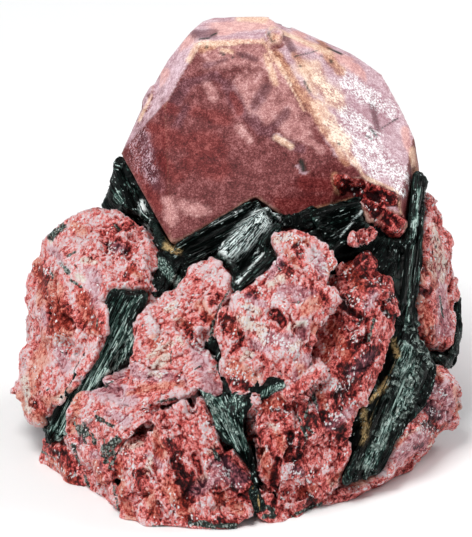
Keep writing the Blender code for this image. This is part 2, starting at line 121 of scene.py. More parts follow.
# How pale each broken crystal is, from deep red at 0 to salmon pink at 1.  The large crystal's
# is that of its broken spur.
PALENESS = {
    "left_crystal": 0.85, "front_left_crystal": 0.8, "centre_crystal": 0.7,
    "lower_front_crystal": 0.42, "left_foot_crystal": 0.35, "right_front_crystal": 0.12,
    "right_crystal": 0.30, "lower_right_crystal": 0.22, "back_left_crystal": 0.65,
    "back_right_crystal": 0.40, "back_foot_crystal": 0.30, "main_crystal": 0.25,
}
PALE_DRIFT = (6.0, 0.3)  # width and strength of its changes over the skin

# The way the grain runs in each broken crystal, on the display plane.
GRAIN = {
    "left_crystal": (0.3, 1.0, 0.2), "front_left_crystal": (0.75, 0.65, 0.1),
    "centre_crystal": (0.25, 1.0, 0.1), "lower_front_crystal": (-0.2, 1.0, 0.2),
    "right_front_crystal": (0.2, 1.0, 0.1), "lower_right_crystal": (0.8, 0.6, 0.1),
    "right_crystal": (0.1, 1.0, 0.0),
}
OTHER_GRAIN = (0.2, 1.0, 0.1)

# Aegirine.
PATCH = 4.5             # width of a patch of needles that lie one way
NEEDLE_PATCHES = 91     # seed of the patches
PATCH_LEAN = np.array([0.0, 0.0, 0.6])  # upward lean of their needles
PATCH_SIDE = [0.31, 0.87, 0.38]         # fixes which way across is
# Ribs along the needles: height, and swells per mm along, across and deep.
RIBS = ((0.22, (0.16, 1.1, 1.1)), (0.13, (0.3, 2.2, 2.2)))
LUMPS = (1.6, 0.10)     # width and height of the lumps
GREY_GRAINS = (0.9, 0.22)
RIB_FREE = (0.4, 1.1)   # distances to a crystal between which the ribs rise
RIB_CREST = (4, 0.12)
# A spray holds what lies within these shares of its length and width, and this deep.
SPRAY_ALONG, SPRAY_ACROSS, SPRAY_DEEP = (-0.1, 1.1), (-0.25, 1.25), 3.5
SCATTERED = 6000        # short needles tried
SHORT = (0.8, 2.6)      # their length
SHORT_TURN = 0.06       # how far they turn from their neighbours' way
LONG = 500              # long needles tried in each spray
LONG_ALONG, LONG_ACROSS = (-0.05, 1.1), (-0.05, 1.05)
LONG_WANDER = 0.05      # how far their far ends stray
NEEDLE_STEPS = 7
NEEDLE_WIDTH = (0.08, 0.26)
NEEDLE_LIFT = 0.45      # how far from the skin its line may start, and how low it may lie
NEEDLE_RISE = 0.3       # how far it is lifted off the skin, in half-widths
NEEDLE_SECTION = ((1, -0.5), (0, 0.9), (-1, -0.5))      # sideways and up, in half-widths
NEEDLE_TAPER = ((0.0, 0.15, 0.85, 1.0), (0.4, 1.0, 0.9, 0.2))   # along it, and its width there
NEEDLE_SPAN = 50        # how far apart in the noise two needles may be
NEEDLE_RUN = 0.6        # and how far along it a step of a needle goes
OPEN_START, OPEN_REACH = 0.1, 3.0       # stretch above the skin that has to be clear

# Marks on the skin of each crystal, on the chart: from, to and half-width.  Glint marks hold painted
# highlights, on the large crystal partly its frosted etching as well.
MARKS = {}
MARKS["main_crystal"] = {
    "mauve": [
        (206, 66, 226, 60, 4), (238, 54, 256, 60, 4), (184, 84, 214, 76, 6), (214, 76, 226, 84, 6),
        (226, 84, 242, 112, 9), (242, 112, 262, 132, 8), (262, 132, 300, 150, 6), (286, 114, 268, 132, 6),
        (266, 88, 254, 106, 7), (186, 84, 170, 110, 8), (196, 34, 214, 33, 6), (286, 36, 292, 50, 5),
        (288, 74, 292, 84, 3), (372, 104, 378, 130, 4), (186, 110, 176, 126, 6), (146, 140, 156, 186, 9),
        (326, 130, 334, 142, 4),
    ],
    "deep": [
        (166, 106, 172, 110, 7), (166, 138, 214, 148, 16), (190, 164, 222, 172, 12),
        (160, 160, 176, 176, 9), (196, 112, 226, 120, 8), (232, 94, 240, 112, 5), (150, 128, 162, 130, 6),
        (146, 190, 158, 206, 7), (136, 170, 150, 190, 5), (280, 206, 350, 200, 10),
        (306, 184, 345, 188, 10), (345, 190, 395, 198, 9), (300, 212, 276, 208, 5),
        (355, 205, 395, 225, 14), (372, 226, 394, 238, 8),
    ],
    "pink": [
        (250, 86, 292, 124, 20), (260, 106, 268, 120, 9), (212, 56, 262, 55, 15), (266, 62, 296, 112, 8),
        (240, 80, 254, 112, 8), (268, 50, 276, 84, 10), (290, 118, 306, 134, 7), (270, 58, 284, 90, 8),
        (206, 84, 214, 98, 6), (240, 128, 250, 140, 5), (168, 202, 172, 220, 7), (184, 206, 204, 212, 7),
        (218, 28, 266, 22, 12), (280, 40, 300, 34, 8), (150, 58, 190, 40, 8), (288, 36, 350, 60, 6),
        (350, 62, 400, 100, 6), (145, 92, 165, 74, 7), (406, 130, 412, 170, 5), (300, 136, 320, 150, 5),
    ],
    "cream": [
        (200, 44, 236, 43, 4), (222, 50, 232, 52, 3), (234, 42, 262, 42, 3), (276, 138, 290, 147, 4),
        (262, 40, 284, 74, 3), (266, 56, 276, 84, 4), (284, 74, 304, 112, 1.4), (196, 46, 188, 60, 4),
        (312, 104, 330, 128, 3.4), (330, 128, 348, 154, 3.4), (348, 154, 364, 178, 3.4),
        (364, 178, 392, 190, 2.4), (308, 70, 332, 100, 14), (318, 104, 344, 148, 9), (272, 28, 330, 52, 4),
        (139, 120, 152, 94, 2), (240, 16, 264, 18, 5), (272, 37, 273, 38, 7), (396, 192, 403, 232, 2),
        (412, 150, 414, 164, 4),
    ],
    "orange": [
        (202, 50, 212, 46, 5), (276, 52, 292, 78, 6), (292, 78, 312, 110, 6), (312, 110, 334, 146, 5),
        (334, 146, 346, 164, 4), (322, 44, 340, 70, 7), (296, 56, 312, 80, 7), (334, 176, 337, 192, 4),
        (300, 214, 350, 200, 3), (412, 156, 416, 172, 4),
    ],
    "green": [
        (301, 162, 303, 170, 3.2), (271, 16, 280, 21, 1.1), (281, 21, 290, 26, 1.4),
        (199, 39, 210, 38, 1.0), (206, 47, 207, 48, 1.2), (321, 55, 322, 56, 1.1), (331, 60, 332, 62, 1.5),
        (300, 66, 301, 67, 0.9), (308, 90, 310, 93, 1.3), (338, 144, 339, 145, 1.4),
        (294, 57, 318, 50, 0.6), (221, 53, 224, 55, 1.2), (232, 57, 233, 58, 1.0), (243, 57, 243, 58, 0.9),
        (328, 47, 342, 53, 1.2), (268, 40, 275, 42, 0.8), (268, 32, 270, 38, 0.9), (210, 36, 216, 33, 0.8),
        (382, 128, 398, 118, 0.6), (370, 128, 376, 136, 1.6), (304, 82, 308, 90, 1.0),
        (366, 136, 372, 140, 0.8),
    ],
    "glint": [
        (326, 124, 346, 152, 5), (340, 130, 376, 168, 16), (344, 112, 376, 140, 12),
        (372, 152, 404, 180, 13), (392, 180, 402, 194, 6), (316, 78, 336, 98, 8), (346, 82, 392, 110, 12),
    ],
    # Sparse pale specks: painted glints.
    "dusted": [
        (140, 124, 150, 176, 8), (150, 110, 176, 70, 9), (132, 146, 140, 166, 7), (180, 60, 190, 46, 6),
    ],
    "broken": [
        (342, 182, 390, 200, 9), (360, 204, 392, 222, 13), (376, 226, 398, 234, 8), (336, 178, 342, 192, 5),
    ],
}
MARKS["left_crystal"] = {
    "deep": [
        (112, 242, 128, 252, 9), (40, 270, 46, 292, 7), (64, 318, 72, 328, 6), (136, 262, 128, 276, 4),
        (60, 300, 70, 312, 5), (84, 296, 98, 326, 9), (46, 280, 68, 326, 10), (104, 232, 132, 226, 5),
        (82, 318, 94, 330, 4), (50, 300, 52, 330, 5), (30, 400, 40, 420, 4),
    ],
    "orange": [
        (52, 286, 62, 330, 12), (36, 262, 40, 300, 6), (84, 300, 94, 330, 8), (44, 340, 30, 390, 10),
        (46, 400, 70, 392, 7), (132, 270, 140, 276, 4), (74, 226, 84, 232, 5), (18, 400, 40, 420, 9),
    ],
    "cream": [
        (112, 290, 142, 291, 1.6), (141, 294, 148, 306, 1.4), (79, 276, 84, 280, 3), (60, 398, 68, 394, 3),
        (40, 246, 50, 240, 3), (24, 380, 30, 410, 4), (96, 262, 84, 260, 3),
    ],
    "mauve": [
        (40, 292, 46, 322, 4), (60, 348, 66, 366, 6), (52, 250, 60, 258, 5), (92, 274, 96, 300, 8),
        (118, 248, 124, 250, 5),
    ],
    "pink": [
        (84, 284, 104, 316, 12), (66, 330, 88, 346, 10), (54, 244, 84, 240, 8), (94, 220, 110, 214, 6),
        (70, 370, 86, 352, 7), (60, 262, 80, 268, 8), (26, 370, 50, 360, 8), (120, 270, 138, 250, 6),
        (80, 400, 60, 380, 7),
    ],
    "green": [
        (48, 238, 62, 227, 5), (47, 268, 53, 277, 2.2), (60, 262, 69, 272, 2.4), (72, 280, 82, 287, 1.6),
        (76, 265, 78, 268, 1.4), (99, 318, 98, 328, 1.2), (116, 226, 120, 230, 2.2),
        (133, 237, 136, 239, 1.4), (50, 388, 48, 390, 1.3), (68, 256, 76, 252, 1.2),
        (56, 350, 64, 352, 1.0),
    ],
    "glint": [(112, 250, 130, 256, 8), (60, 336, 70, 350, 8), (46, 272, 60, 266, 5)],
    "smooth": [(84, 284, 104, 316, 12), (56, 244, 84, 268, 10)],
}
MARKS["front_left_crystal"] = {
    "mauve": [
        (96, 384, 128, 396, 12), (200, 352, 214, 386, 9), (182, 380, 206, 392, 6), (140, 374, 170, 376, 6),
        (120, 374, 136, 366, 5), (222, 372, 214, 392, 5), (112, 412, 128, 418, 6), (84, 438, 92, 460, 6),
    ],
    "pink": [
        (106, 396, 120, 400, 8), (196, 262, 216, 280, 9), (160, 296, 182, 290, 8), (148, 310, 156, 330, 6),
        (200, 330, 212, 340, 6), (150, 336, 140, 356, 5),
    ],
    "orange": [
        (202, 304, 212, 318, 6), (76, 404, 80, 390, 4), (84, 384, 108, 366, 4), (78, 408, 74, 428, 4),
        (140, 388, 182, 382, 4), (158, 342, 164, 356, 8), (130, 392, 140, 390, 3), (180, 318, 190, 326, 5),
    ],
    "cream": [
        (166, 310, 176, 304, 3), (156, 366, 168, 356, 5), (150, 356, 172, 342, 3), (176, 318, 180, 322, 2),
        (178, 336, 184, 344, 2), (152, 372, 160, 374, 3),
    ],
    "deep": [
        (188, 326, 196, 336, 6), (204, 316, 212, 322, 4), (218, 296, 212, 304, 4), (136, 330, 146, 340, 5),
        (84, 436, 92, 448, 5),
    ],
    "green": [
        (107, 384, 114, 380, 2.4), (229, 290, 221, 304, 1.5), (221, 304, 214, 320, 1.6),
        (214, 320, 211, 340, 2.2), (213, 352, 217, 362, 2.2), (217, 362, 226, 392, 1.8),
        (195, 368, 202, 364, 1.4), (82, 428, 92, 440, 7), (98, 416, 114, 424, 3), (108, 446, 118, 438, 7),
        (104, 460, 112, 452, 6), (74, 444, 86, 482, 3.5), (112, 468, 120, 505, 2.2),
        (160, 400, 176, 396, 2.0), (80, 470, 88, 484, 4.5), (172, 350, 172, 362, 1.2),
    ],
    "glint": [
        (156, 300, 176, 310, 6), (150, 320, 160, 340, 6), (194, 262, 216, 280, 10), (190, 334, 206, 348, 7),
        (88, 412, 96, 420, 3),
    ],
    "smooth": [(90, 386, 128, 400, 14), (196, 356, 214, 386, 10), (140, 380, 180, 386, 6)],
}
MARKS["lower_front_crystal"] = {
    "cream": [
        (129, 416, 152, 408, 2.6), (124, 446, 140, 440, 3.6), (198, 478, 206, 474, 3),
        (152, 456, 148, 470, 3), (160, 400, 190, 396, 1.6), (210, 450, 216, 440, 3),
    ],
    "orange": [
        (150, 490, 156, 508, 6), (168, 484, 188, 508, 8), (128, 500, 132, 514, 5), (120, 462, 124, 496, 4),
        (156, 430, 162, 448, 6), (222, 494, 240, 506, 6), (98, 460, 104, 484, 4),
    ],
    "deep": [
        (176, 462, 190, 494, 9), (140, 470, 146, 492, 5), (190, 470, 200, 486, 5), (222, 452, 244, 488, 10),
        (170, 440, 180, 452, 6), (190, 514, 230, 522, 5), (216, 488, 222, 500, 5), (120, 424, 130, 432, 4),
    ],
    "mauve": [
        (218, 462, 240, 476, 9), (196, 486, 216, 474, 6), (150, 452, 162, 462, 4), (96, 452, 100, 470, 4),
    ],
    "pink": [
        (156, 430, 164, 440, 4), (186, 448, 176, 474, 3), (164, 468, 186, 456, 3), (204, 500, 212, 490, 6),
        (208, 420, 204, 436, 6), (126, 470, 132, 484, 4),
    ],
    "green": [
        (106, 446, 120, 436, 6.5), (112, 456, 106, 460, 4), (112, 486, 120, 506, 2), (90, 418, 96, 440, 3),
        (214, 446, 219, 456, 2.2), (192, 519, 236, 522, 4), (154, 522, 180, 524, 2.5),
        (118, 440, 112, 466, 4), (250, 470, 256, 500, 3),
    ],
    "glint": [
        (202, 414, 214, 436, 5), (222, 466, 236, 482, 6), (126, 450, 136, 470, 5), (196, 420, 206, 412, 4),
    ],
}
MARKS["left_foot_crystal"] = {
    "deep": [(44, 446, 60, 450, 7), (60, 450, 72, 468, 6), (70, 476, 84, 486, 5)],
    "orange": [(54, 462, 72, 478, 6)],
    "glint": [(56, 466, 74, 474, 5)],
    "green": [(42, 452, 56, 458, 1.4)],
}
MARKS["centre_crystal"] = {
    "cream": [
        (240, 318, 262, 330, 6), (270, 284, 280, 278, 5), (276, 240, 290, 236, 4), (243, 357, 250, 352, 4),
        (290, 348, 297, 342, 4), (246, 306, 258, 312, 4), (258, 332, 264, 342, 3), (288, 326, 304, 322, 3),
    ],
    "orange": [
        (304, 308, 314, 302, 7), (312, 326, 318, 346, 5), (286, 252, 296, 266, 4), (232, 364, 256, 376, 7),
        (330, 268, 332, 280, 5), (228, 322, 236, 330, 4), (300, 366, 306, 386, 6), (293, 240, 303, 242, 5),
    ],
    "mauve": [
        (282, 290, 308, 296, 8), (272, 338, 292, 342, 8), (278, 262, 270, 276, 5), (300, 334, 304, 322, 6),
        (316, 258, 322, 272, 6), (254, 344, 268, 348, 5), (310, 356, 296, 376, 6), (248, 296, 262, 304, 4),
    ],
    "deep": [
        (224, 318, 236, 334, 7), (246, 290, 256, 296, 5), (272, 312, 284, 322, 5), (232, 380, 258, 388, 5),
        (296, 246, 300, 258, 5), (316, 290, 326, 300, 4), (240, 340, 234, 350, 4), (282, 264, 290, 274, 5),
    ],
    "pink": [
        (262, 300, 296, 306, 8), (238, 300, 232, 312, 5), (270, 350, 300, 358, 8), (270, 232, 262, 248, 5),
        (306, 258, 316, 250, 6),
    ],
    "glint": [
        (300, 250, 328, 268, 9), (232, 372, 254, 380, 8), (240, 304, 262, 330, 8), (266, 334, 296, 350, 9),
        (276, 234, 300, 244, 7), (262, 292, 280, 300, 6), (224, 360, 236, 380, 6),
    ],
    "green": [
        (288, 302, 298, 302, 1.2), (276, 266, 280, 270, 1.2), (229, 290, 221, 304, 1.5),
        (221, 304, 214, 320, 1.6), (214, 320, 211, 340, 2.2), (217, 362, 226, 392, 1.8),
    ],
    "smooth": [(296, 300, 318, 348, 9), (270, 336, 296, 342, 6)],
}
MARKS["right_front_crystal"] = {
    "deep": [
        (344, 256, 352, 276, 9), (346, 270, 390, 288, 15), (350, 262, 372, 258, 9), (340, 300, 360, 316, 9),
        (352, 346, 366, 336, 7), (288, 430, 292, 456, 5), (276, 456, 272, 500, 4), (336, 400, 370, 350, 9),
        (318, 414, 340, 430, 8), (300, 440, 296, 470, 6), (300, 488, 310, 498, 6), (378, 300, 392, 316, 5),
        (340, 366, 352, 386, 7), (300, 404, 306, 430, 5),
    ],
    "orange": [
        (332, 328, 346, 354, 7), (262, 450, 268, 470, 6), (266, 404, 280, 398, 6), (346, 268, 360, 286, 7),
        (330, 478, 346, 470, 5), (318, 392, 324, 404, 4), (276, 430, 284, 446, 5), (302, 490, 312, 484, 5),
        (326, 340, 326, 360, 4),
    ],
    "pink": [
        (376, 280, 392, 290, 7), (268, 418, 278, 426, 5), (282, 474, 300, 466, 7), (312, 462, 328, 456, 7),
        (296, 480, 290, 500, 5), (360, 306, 372, 300, 5), (262, 388, 284, 396, 6), (350, 412, 362, 396, 5),
        (320, 470, 326, 478, 5),
    ],
    "mauve": [
        (372, 294, 366, 308, 5), (346, 410, 330, 424, 6), (312, 384, 316, 408, 3), (286, 464, 300, 470, 4),
        (350, 372, 368, 356, 5),
    ],
    "glint": [
        (338, 300, 356, 302, 5), (342, 326, 360, 337, 6), (320, 382, 342, 384, 8), (323, 402, 327, 406, 4),
        (320, 362, 323, 370, 3), (346, 380, 350, 366, 5), (290, 466, 304, 474, 8), (270, 420, 276, 426, 4),
        (276, 490, 284, 498, 4), (330, 420, 350, 400, 6), (270, 404, 296, 420, 5), (380, 282, 390, 300, 4),
    ],
    "cream": [(324, 403, 326, 406, 2.2), (330, 482, 344, 474, 2.5), (270, 422, 274, 424, 2.5)],
    "green": [
        (372, 320, 366, 340, 2.6), (384, 310, 388, 316, 2.4), (310, 386, 316, 406, 2.2),
        (305, 424, 312, 430, 2.0), (264, 512, 292, 514, 3.5), (262, 500, 272, 506, 3),
        (296, 510, 330, 497, 2.5), (308, 400, 304, 416, 2.0), (296, 412, 306, 436, 1.6),
    ],
    "smooth": [(330, 326, 348, 356, 7)],
}
MARKS["right_crystal"] = {
    "orange": [
        (416, 232, 420, 282, 6), (420, 300, 432, 340, 7), (452, 302, 454, 310, 4), (428, 262, 434, 284, 5),
    ],
    "cream": [(434, 230, 440, 266, 6), (430, 262, 434, 276, 4), (446, 262, 442, 280, 3)],
    "mauve": [(438, 276, 446, 330, 8), (436, 330, 444, 356, 6), (414, 282, 422, 296, 4)],
    "deep": [(412, 284, 424, 292, 5), (424, 336, 432, 352, 4), (418, 250, 422, 270, 4)],
    "pink": [(428, 222, 436, 232, 4), (444, 284, 450, 300, 4)],
    "green": [
        (436, 246, 436, 248, 1.0), (434, 256, 436, 258, 0.9), (438, 238, 438, 240, 0.9),
        (426, 274, 427, 276, 1.0), (440, 296, 444, 318, 1.2), (412, 300, 414, 320, 2.6),
    ],
    "glint": [(418, 246, 420, 266, 4)],
    "smooth": [(436, 230, 446, 330, 9)],
}
MARKS["lower_right_crystal"] = {
    "mauve": [
        (430, 384, 452, 400, 10), (424, 404, 446, 418, 8), (394, 454, 420, 440, 11),
        (404, 440, 424, 428, 5),
    ],
    "pink": [
        (392, 448, 418, 436, 6), (436, 370, 446, 378, 5), (456, 384, 460, 420, 4), (376, 470, 400, 460, 5),
    ],
    "deep": [(422, 400, 436, 414, 7), (424, 424, 440, 430, 5), (416, 446, 440, 444, 4)],
    "orange": [
        (432, 368, 440, 380, 5), (384, 450, 402, 436, 4), (456, 390, 460, 412, 4), (352, 484, 372, 474, 4),
        (446, 424, 430, 440, 3),
    ],
    "glint": [(418, 424, 434, 432, 6), (436, 388, 446, 398, 5), (428, 410, 436, 414, 4)],
    "cream": [(420, 426, 404, 434, 2), (440, 436, 428, 446, 2)],
    "smooth": [(390, 452, 424, 434, 14)],
}

# Relief on the skin, on the chart: from, to, half-width and height.
RELIEF = {
    "main_crystal": [
        (272, 37, 273, 38, 8, 0.6), (267, 40, 270, 33, 1.6, -0.5), (271, 43, 277, 36, 1.4, -0.5),
        (271, 16, 290, 26, 1.6, -0.3), (150, 90, 126, 140, 6, 0.35), (300, 165, 303, 170, 3, -0.2),
        (276, 139, 290, 147, 3, 0.12),
    ],
    "left_crystal": [
        (168, 262, 166, 292, 9, -1.6), (12, 396, 36, 420, 9, 1.0), (112, 243, 126, 250, 9, -0.8),
        (116, 226, 120, 230, 4, -0.8), (66, 318, 70, 326, 5, -0.8), (133, 237, 136, 239, 3, -0.8),
        (98, 310, 96, 330, 4, -0.8), (48, 300, 50, 320, 4, -0.8),
    ],
    "front_left_crystal": [
        (222, 300, 214, 350, 6, -0.6), (206, 336, 216, 352, 5, -1.2), (180, 322, 188, 334, 5, -0.8),
        (98, 416, 110, 424, 4, -0.8), (192, 340, 204, 348, 4, -0.8), (100, 384, 118, 392, 6, -0.8),
        (206, 356, 222, 392, 4, 0.4),
    ],
    "lower_front_crystal": [
        (190, 396, 192, 408, 5, -1.3), (178, 462, 190, 492, 9, -0.8), (144, 468, 152, 478, 6, -0.8),
        (128, 498, 146, 490, 4, -0.8), (150, 424, 172, 422, 4, -0.8), (196, 452, 204, 480, 4, -0.8),
        (134, 430, 144, 426, 4, -0.8), (160, 500, 162, 512, 3, -0.8), (214, 506, 236, 498, 4, -0.8),
        (82, 432, 120, 426, 10, 0.8), (120, 426, 150, 408, 6, 0.8), (90, 450, 110, 470, 8, 0.8),
        (246, 480, 250, 510, 4, 0.4),
    ],
    "centre_crystal": [
        (272, 312, 284, 322, 5, -0.8), (244, 342, 254, 348, 5, -0.8), (228, 320, 234, 332, 4, -0.8),
        (284, 264, 296, 258, 4, -0.8), (300, 328, 304, 336, 5, -0.8), (332, 290, 320, 350, 7, 0.8),
        (220, 300, 218, 372, 6, 0.8),
    ],
    "right_front_crystal": [
        (290, 430, 288, 456, 5, -0.8), (276, 458, 271, 500, 4, -0.8), (340, 306, 360, 316, 4, -0.8),
        (354, 344, 364, 340, 4, -0.8), (302, 490, 310, 496, 5, -0.8), (384, 308, 388, 316, 3, -0.8),
        (294, 400, 296, 424, 3, -0.8), (366, 318, 366, 340, 3, -0.8), (256, 400, 250, 440, 6, 0.9),
        (250, 440, 258, 500, 6, 1.0), (330, 300, 312, 380, 6, 0.6), (312, 380, 300, 400, 6, 0.6),
    ],
    "lower_right_crystal": [(444, 438, 428, 462, 8, -1.6)],
    "right_crystal": [(412, 284, 424, 292, 5, -0.8), (426, 240, 424, 280, 3, -0.8)],
}

# Places brought to a level, on the chart: from, to, half-width and how far out.
LEVELS = {
    "main_crystal": [(366, 206, 392, 222, 11, 6.4), (360, 206, 368, 220, 5, 7.0)],
    "aegirine": [
        (376, 212, 396, 222, 12, 2.0), (374, 230, 396, 236, 6, 4.0), (252, 486, 262, 520, 6, 15.4),
    ],
    "right_front_crystal": [
        (256, 402, 290, 394, 9, 15.4), (290, 390, 318, 372, 8, 16.0), (254, 420, 258, 500, 6, 15.0),
    ],
    "right_crystal": [(424, 200, 436, 204, 6, 2.4)],
}

# Sprays of aegirine in front of the crystals: their thickness, and where each corner of their
# outline lies on the chart and how far out it is.
AEGIRINE_SLABS = {
    "aegirine_front_fan": (4.0, [
        (199, 387, 15.0), (207, 391, 15.0), (215, 396, 15.2), (223, 394, 15.0), (225, 386, 14.2),
        (221, 370, 13.4), (218, 360, 13.0), (215, 351, 12.8), (206, 346, 12.6), (213, 333, 12.4),
        (219, 342, 12.8), (222, 356, 13.2), (226, 374, 13.8), (231, 390, 14.6), (246, 388, 15.0),
        (254, 384, 15.4), (260, 377, 15.9), (270, 374, 16.2), (283, 378, 16.4), (284, 384, 16.2),
        (272, 393, 15.9), (262, 398, 15.8), (252, 401, 15.8), (248, 409, 15.8), (243, 418, 15.7),
        (244, 432, 15.7), (250, 445, 15.6), (255, 460, 15.4), (258, 480, 15.2), (254, 482, 15.2),
        (249, 466, 15.3), (243, 454, 15.4), (236, 444, 15.6), (225, 440, 15.7), (218, 430, 15.8),
        (214, 414, 15.8), (208, 401, 15.6),
    ]),
    "aegirine_right_apron": (2.5, [
        (425, 352, 6.0), (437, 368, 4.6), (432, 385, 5.6), (425, 402, 6.2), (411, 418, 7.9),
        (394, 440, 8.9), (380, 460, 9.0), (366, 474, 9.0), (362, 470, 9.2), (378, 440, 9.9),
        (392, 410, 9.8), (405, 380, 9.2), (414, 360, 8.2),
    ]),
    "aegirine_left_collar": (2.5, [
        (112, 162, -4.0), (118, 156, -3.6), (124, 158, -3.4), (132, 170, -2.0), (140, 184, -0.6),
        (148, 198, 0.8), (156, 212, 2.4), (162, 224, 3.4), (152, 226, 2.6), (140, 210, 0.8),
        (128, 192, -1.2), (116, 174, -3.2),
    ]),
    "aegirine_notch": (1.5, [
        (280, 215, 7.4), (288, 216, 7.3), (296, 213, 7.3), (304, 211, 7.2), (312, 207, 7.2),
        (314, 216, 7.3), (315, 226, 7.4), (306, 230, 7.2), (294, 230, 7.2), (284, 226, 7.3),
    ]),
    "aegirine_left_wedge": (2.5, [
        (158, 252, 7.0), (170, 249, 7.2), (185, 256, 7.4), (178, 272, 7.4), (168, 290, 7.4),
        (157, 298, 7.2), (150, 292, 7.0), (155, 278, 7.0), (157, 264, 7.0),
    ]),
}

# Pieces of broken crystal that fill gaps: the crystal that each belongs to, its thickness, and
# where each corner of its outline lies.
FILLERS = {
    "main_crystal_spur": ("main_crystal", 2.6, [
        (346, 243, 9.6), (350, 235, 9.8), (358, 229, 9.8), (364, 226, 8.6), (372, 226, 8.0),
        (377, 234, 8.4), (372, 242, 8.8), (360, 246, 9.4), (350, 246, 9.6),
    ]),
    "left_crystal_edge": ("left_crystal", 3.0, [
        (98, 300, 8.2), (108, 304, 9.4), (110, 316, 9.8), (108, 326, 9.7), (105, 338, 9.4), (99, 351, 9.0),
        (92, 364, 8.5), (85, 376, 7.9), (78, 385, 7.3), (68, 397, 6.4), (60, 405, 5.4), (52, 402, 4.2),
        (56, 394, 4.8), (64, 380, 5.6), (70, 364, 6.0), (76, 350, 6.8), (82, 336, 7.9), (90, 318, 8.0),
    ]),
    "front_left_crystal_lobe": ("front_left_crystal", 5.0, [
        (82, 390, 8.2), (96, 390, 9.3), (112, 398, 10.8), (132, 404, 12.8), (148, 404, 13.4),
        (160, 408, 14.2), (156, 418, 14.6), (142, 424, 14.0), (132, 434, 12.9), (124, 444, 12.0),
        (116, 456, 11.2), (114, 470, 10.9), (116, 486, 11.2), (122, 500, 12.8), (121, 509, 12.2),
        (112, 502, 10.2), (104, 494, 8.2), (92, 489, 6.7), (86, 480, 6.2), (82, 466, 6.4), (74, 450, 6.2),
        (68, 438, 6.4), (67, 424, 7.0), (70, 408, 7.6), (75, 398, 7.8),
    ]),
    "centre_crystal_corner": ("centre_crystal", 3.5, [
        (216, 330, 13.4), (218, 318, 13.4), (222, 306, 13.3), (230, 304, 13.6), (238, 322, 14.1),
        (240, 348, 14.9), (256, 364, 15.9), (284, 370, 16.7), (284, 379, 16.4), (271, 377, 16.1),
        (262, 380, 15.8), (256, 387, 15.6), (247, 392, 15.2), (231, 393, 14.9), (227, 384, 14.8),
        (223, 368, 14.7), (220, 352, 14.2), (217, 340, 13.7),
    ]),
    "front_left_crystal_corner": ("front_left_crystal", 3.5, [
        (194, 350, 13.6), (206, 347, 13.4), (212, 352, 13.1), (218, 364, 13.1), (222, 378, 13.4),
        (225, 391, 14.0), (216, 397, 14.5), (207, 392, 14.8), (199, 387, 14.9), (188, 386, 14.7),
        (184, 366, 13.6),
    ]),
    "right_front_crystal_foot": ("right_front_crystal", 4.5, [
        (258, 482, 14.8), (268, 492, 14.8), (284, 500, 14.6), (300, 498, 13.6), (316, 490, 12.6),
        (330, 482, 11.6), (338, 484, 9.8), (330, 499, 9.2), (312, 506, 11.1), (292, 514, 13.4),
        (280, 519, 14.6), (268, 519, 15.0), (258, 514, 15.2), (255, 498, 15.0),
    ]),
    "right_front_crystal_top": ("right_front_crystal", 4.5, [
        (338, 272, 8.8), (342, 266, 8.8), (351, 261, 9.0), (359, 255, 9.0), (365, 252, 8.8),
        (374, 256, 8.6), (377, 263, 8.8), (374, 269, 9.2), (380, 274, 9.2), (389, 277, 8.6),
        (394, 286, 8.8), (384, 298, 10.9), (362, 302, 11.7), (346, 300, 11.0), (337, 288, 9.2),
    ]),
    "right_crystal_top": ("right_crystal", 3.5, [
        (417, 212, -0.6), (420, 200, -1.0), (425, 194, -1.4), (431, 197, -1.8), (437, 206, -2.4),
        (442, 218, -3.2), (444, 235, -3.4), (442, 250, -2.2), (436, 262, 0.2), (424, 262, 1.8),
        (416, 250, 1.0), (414, 230, 0.2),
    ]),
}

# Marks on the aegirine.  Silver marks are painted highlights along the needles, and lit marks painted
# light.
AEGIRINE_MARKS = {
    "silver": [
        (257, 222, 238, 249, 13), (244, 232, 229, 249, 10), (142, 204, 153, 240, 4),
        (238, 282, 262, 254, 1.8), (222, 270, 234, 290, 5), (262, 204, 284, 224, 1.0),
        (212, 226, 242, 211, 0.9), (360, 212, 340, 236, 1.0),
    ],
    "grey": [
        (396, 372, 408, 390, 7), (388, 392, 404, 400, 5), (396, 414, 404, 418, 5), (412, 330, 426, 352, 10),
        (410, 368, 398, 410, 10), (392, 414, 376, 444, 7), (210, 400, 236, 430, 5), (346, 452, 366, 462, 6),
        (404, 404, 412, 396, 4), (354, 468, 364, 476, 5), (262, 508, 280, 512, 6), (384, 380, 394, 384, 3),
        (420, 350, 428, 366, 5), (374, 430, 384, 440, 4),
    ],
    "tan": [
        (362, 406, 364, 436, 3.2), (368, 400, 386, 378, 2.0), (392, 340, 396, 354, 3.4),
        (168, 246, 178, 252, 4), (214, 444, 219, 456, 4), (252, 488, 258, 500, 5), (376, 392, 384, 384, 3),
    ],
    "lit": [
        (128, 292, 122, 340, 18), (122, 340, 84, 404, 16), (84, 404, 62, 432, 12), (204, 392, 240, 438, 11),
        (236, 398, 246, 414, 8), (262, 392, 282, 384, 4), (404, 346, 402, 400, 9), (398, 400, 368, 460, 8),
        (418, 190, 404, 330, 1.8), (214, 264, 204, 280, 5), (160, 262, 176, 280, 6),
        (108, 170, 120, 200, 5),
    ],
}

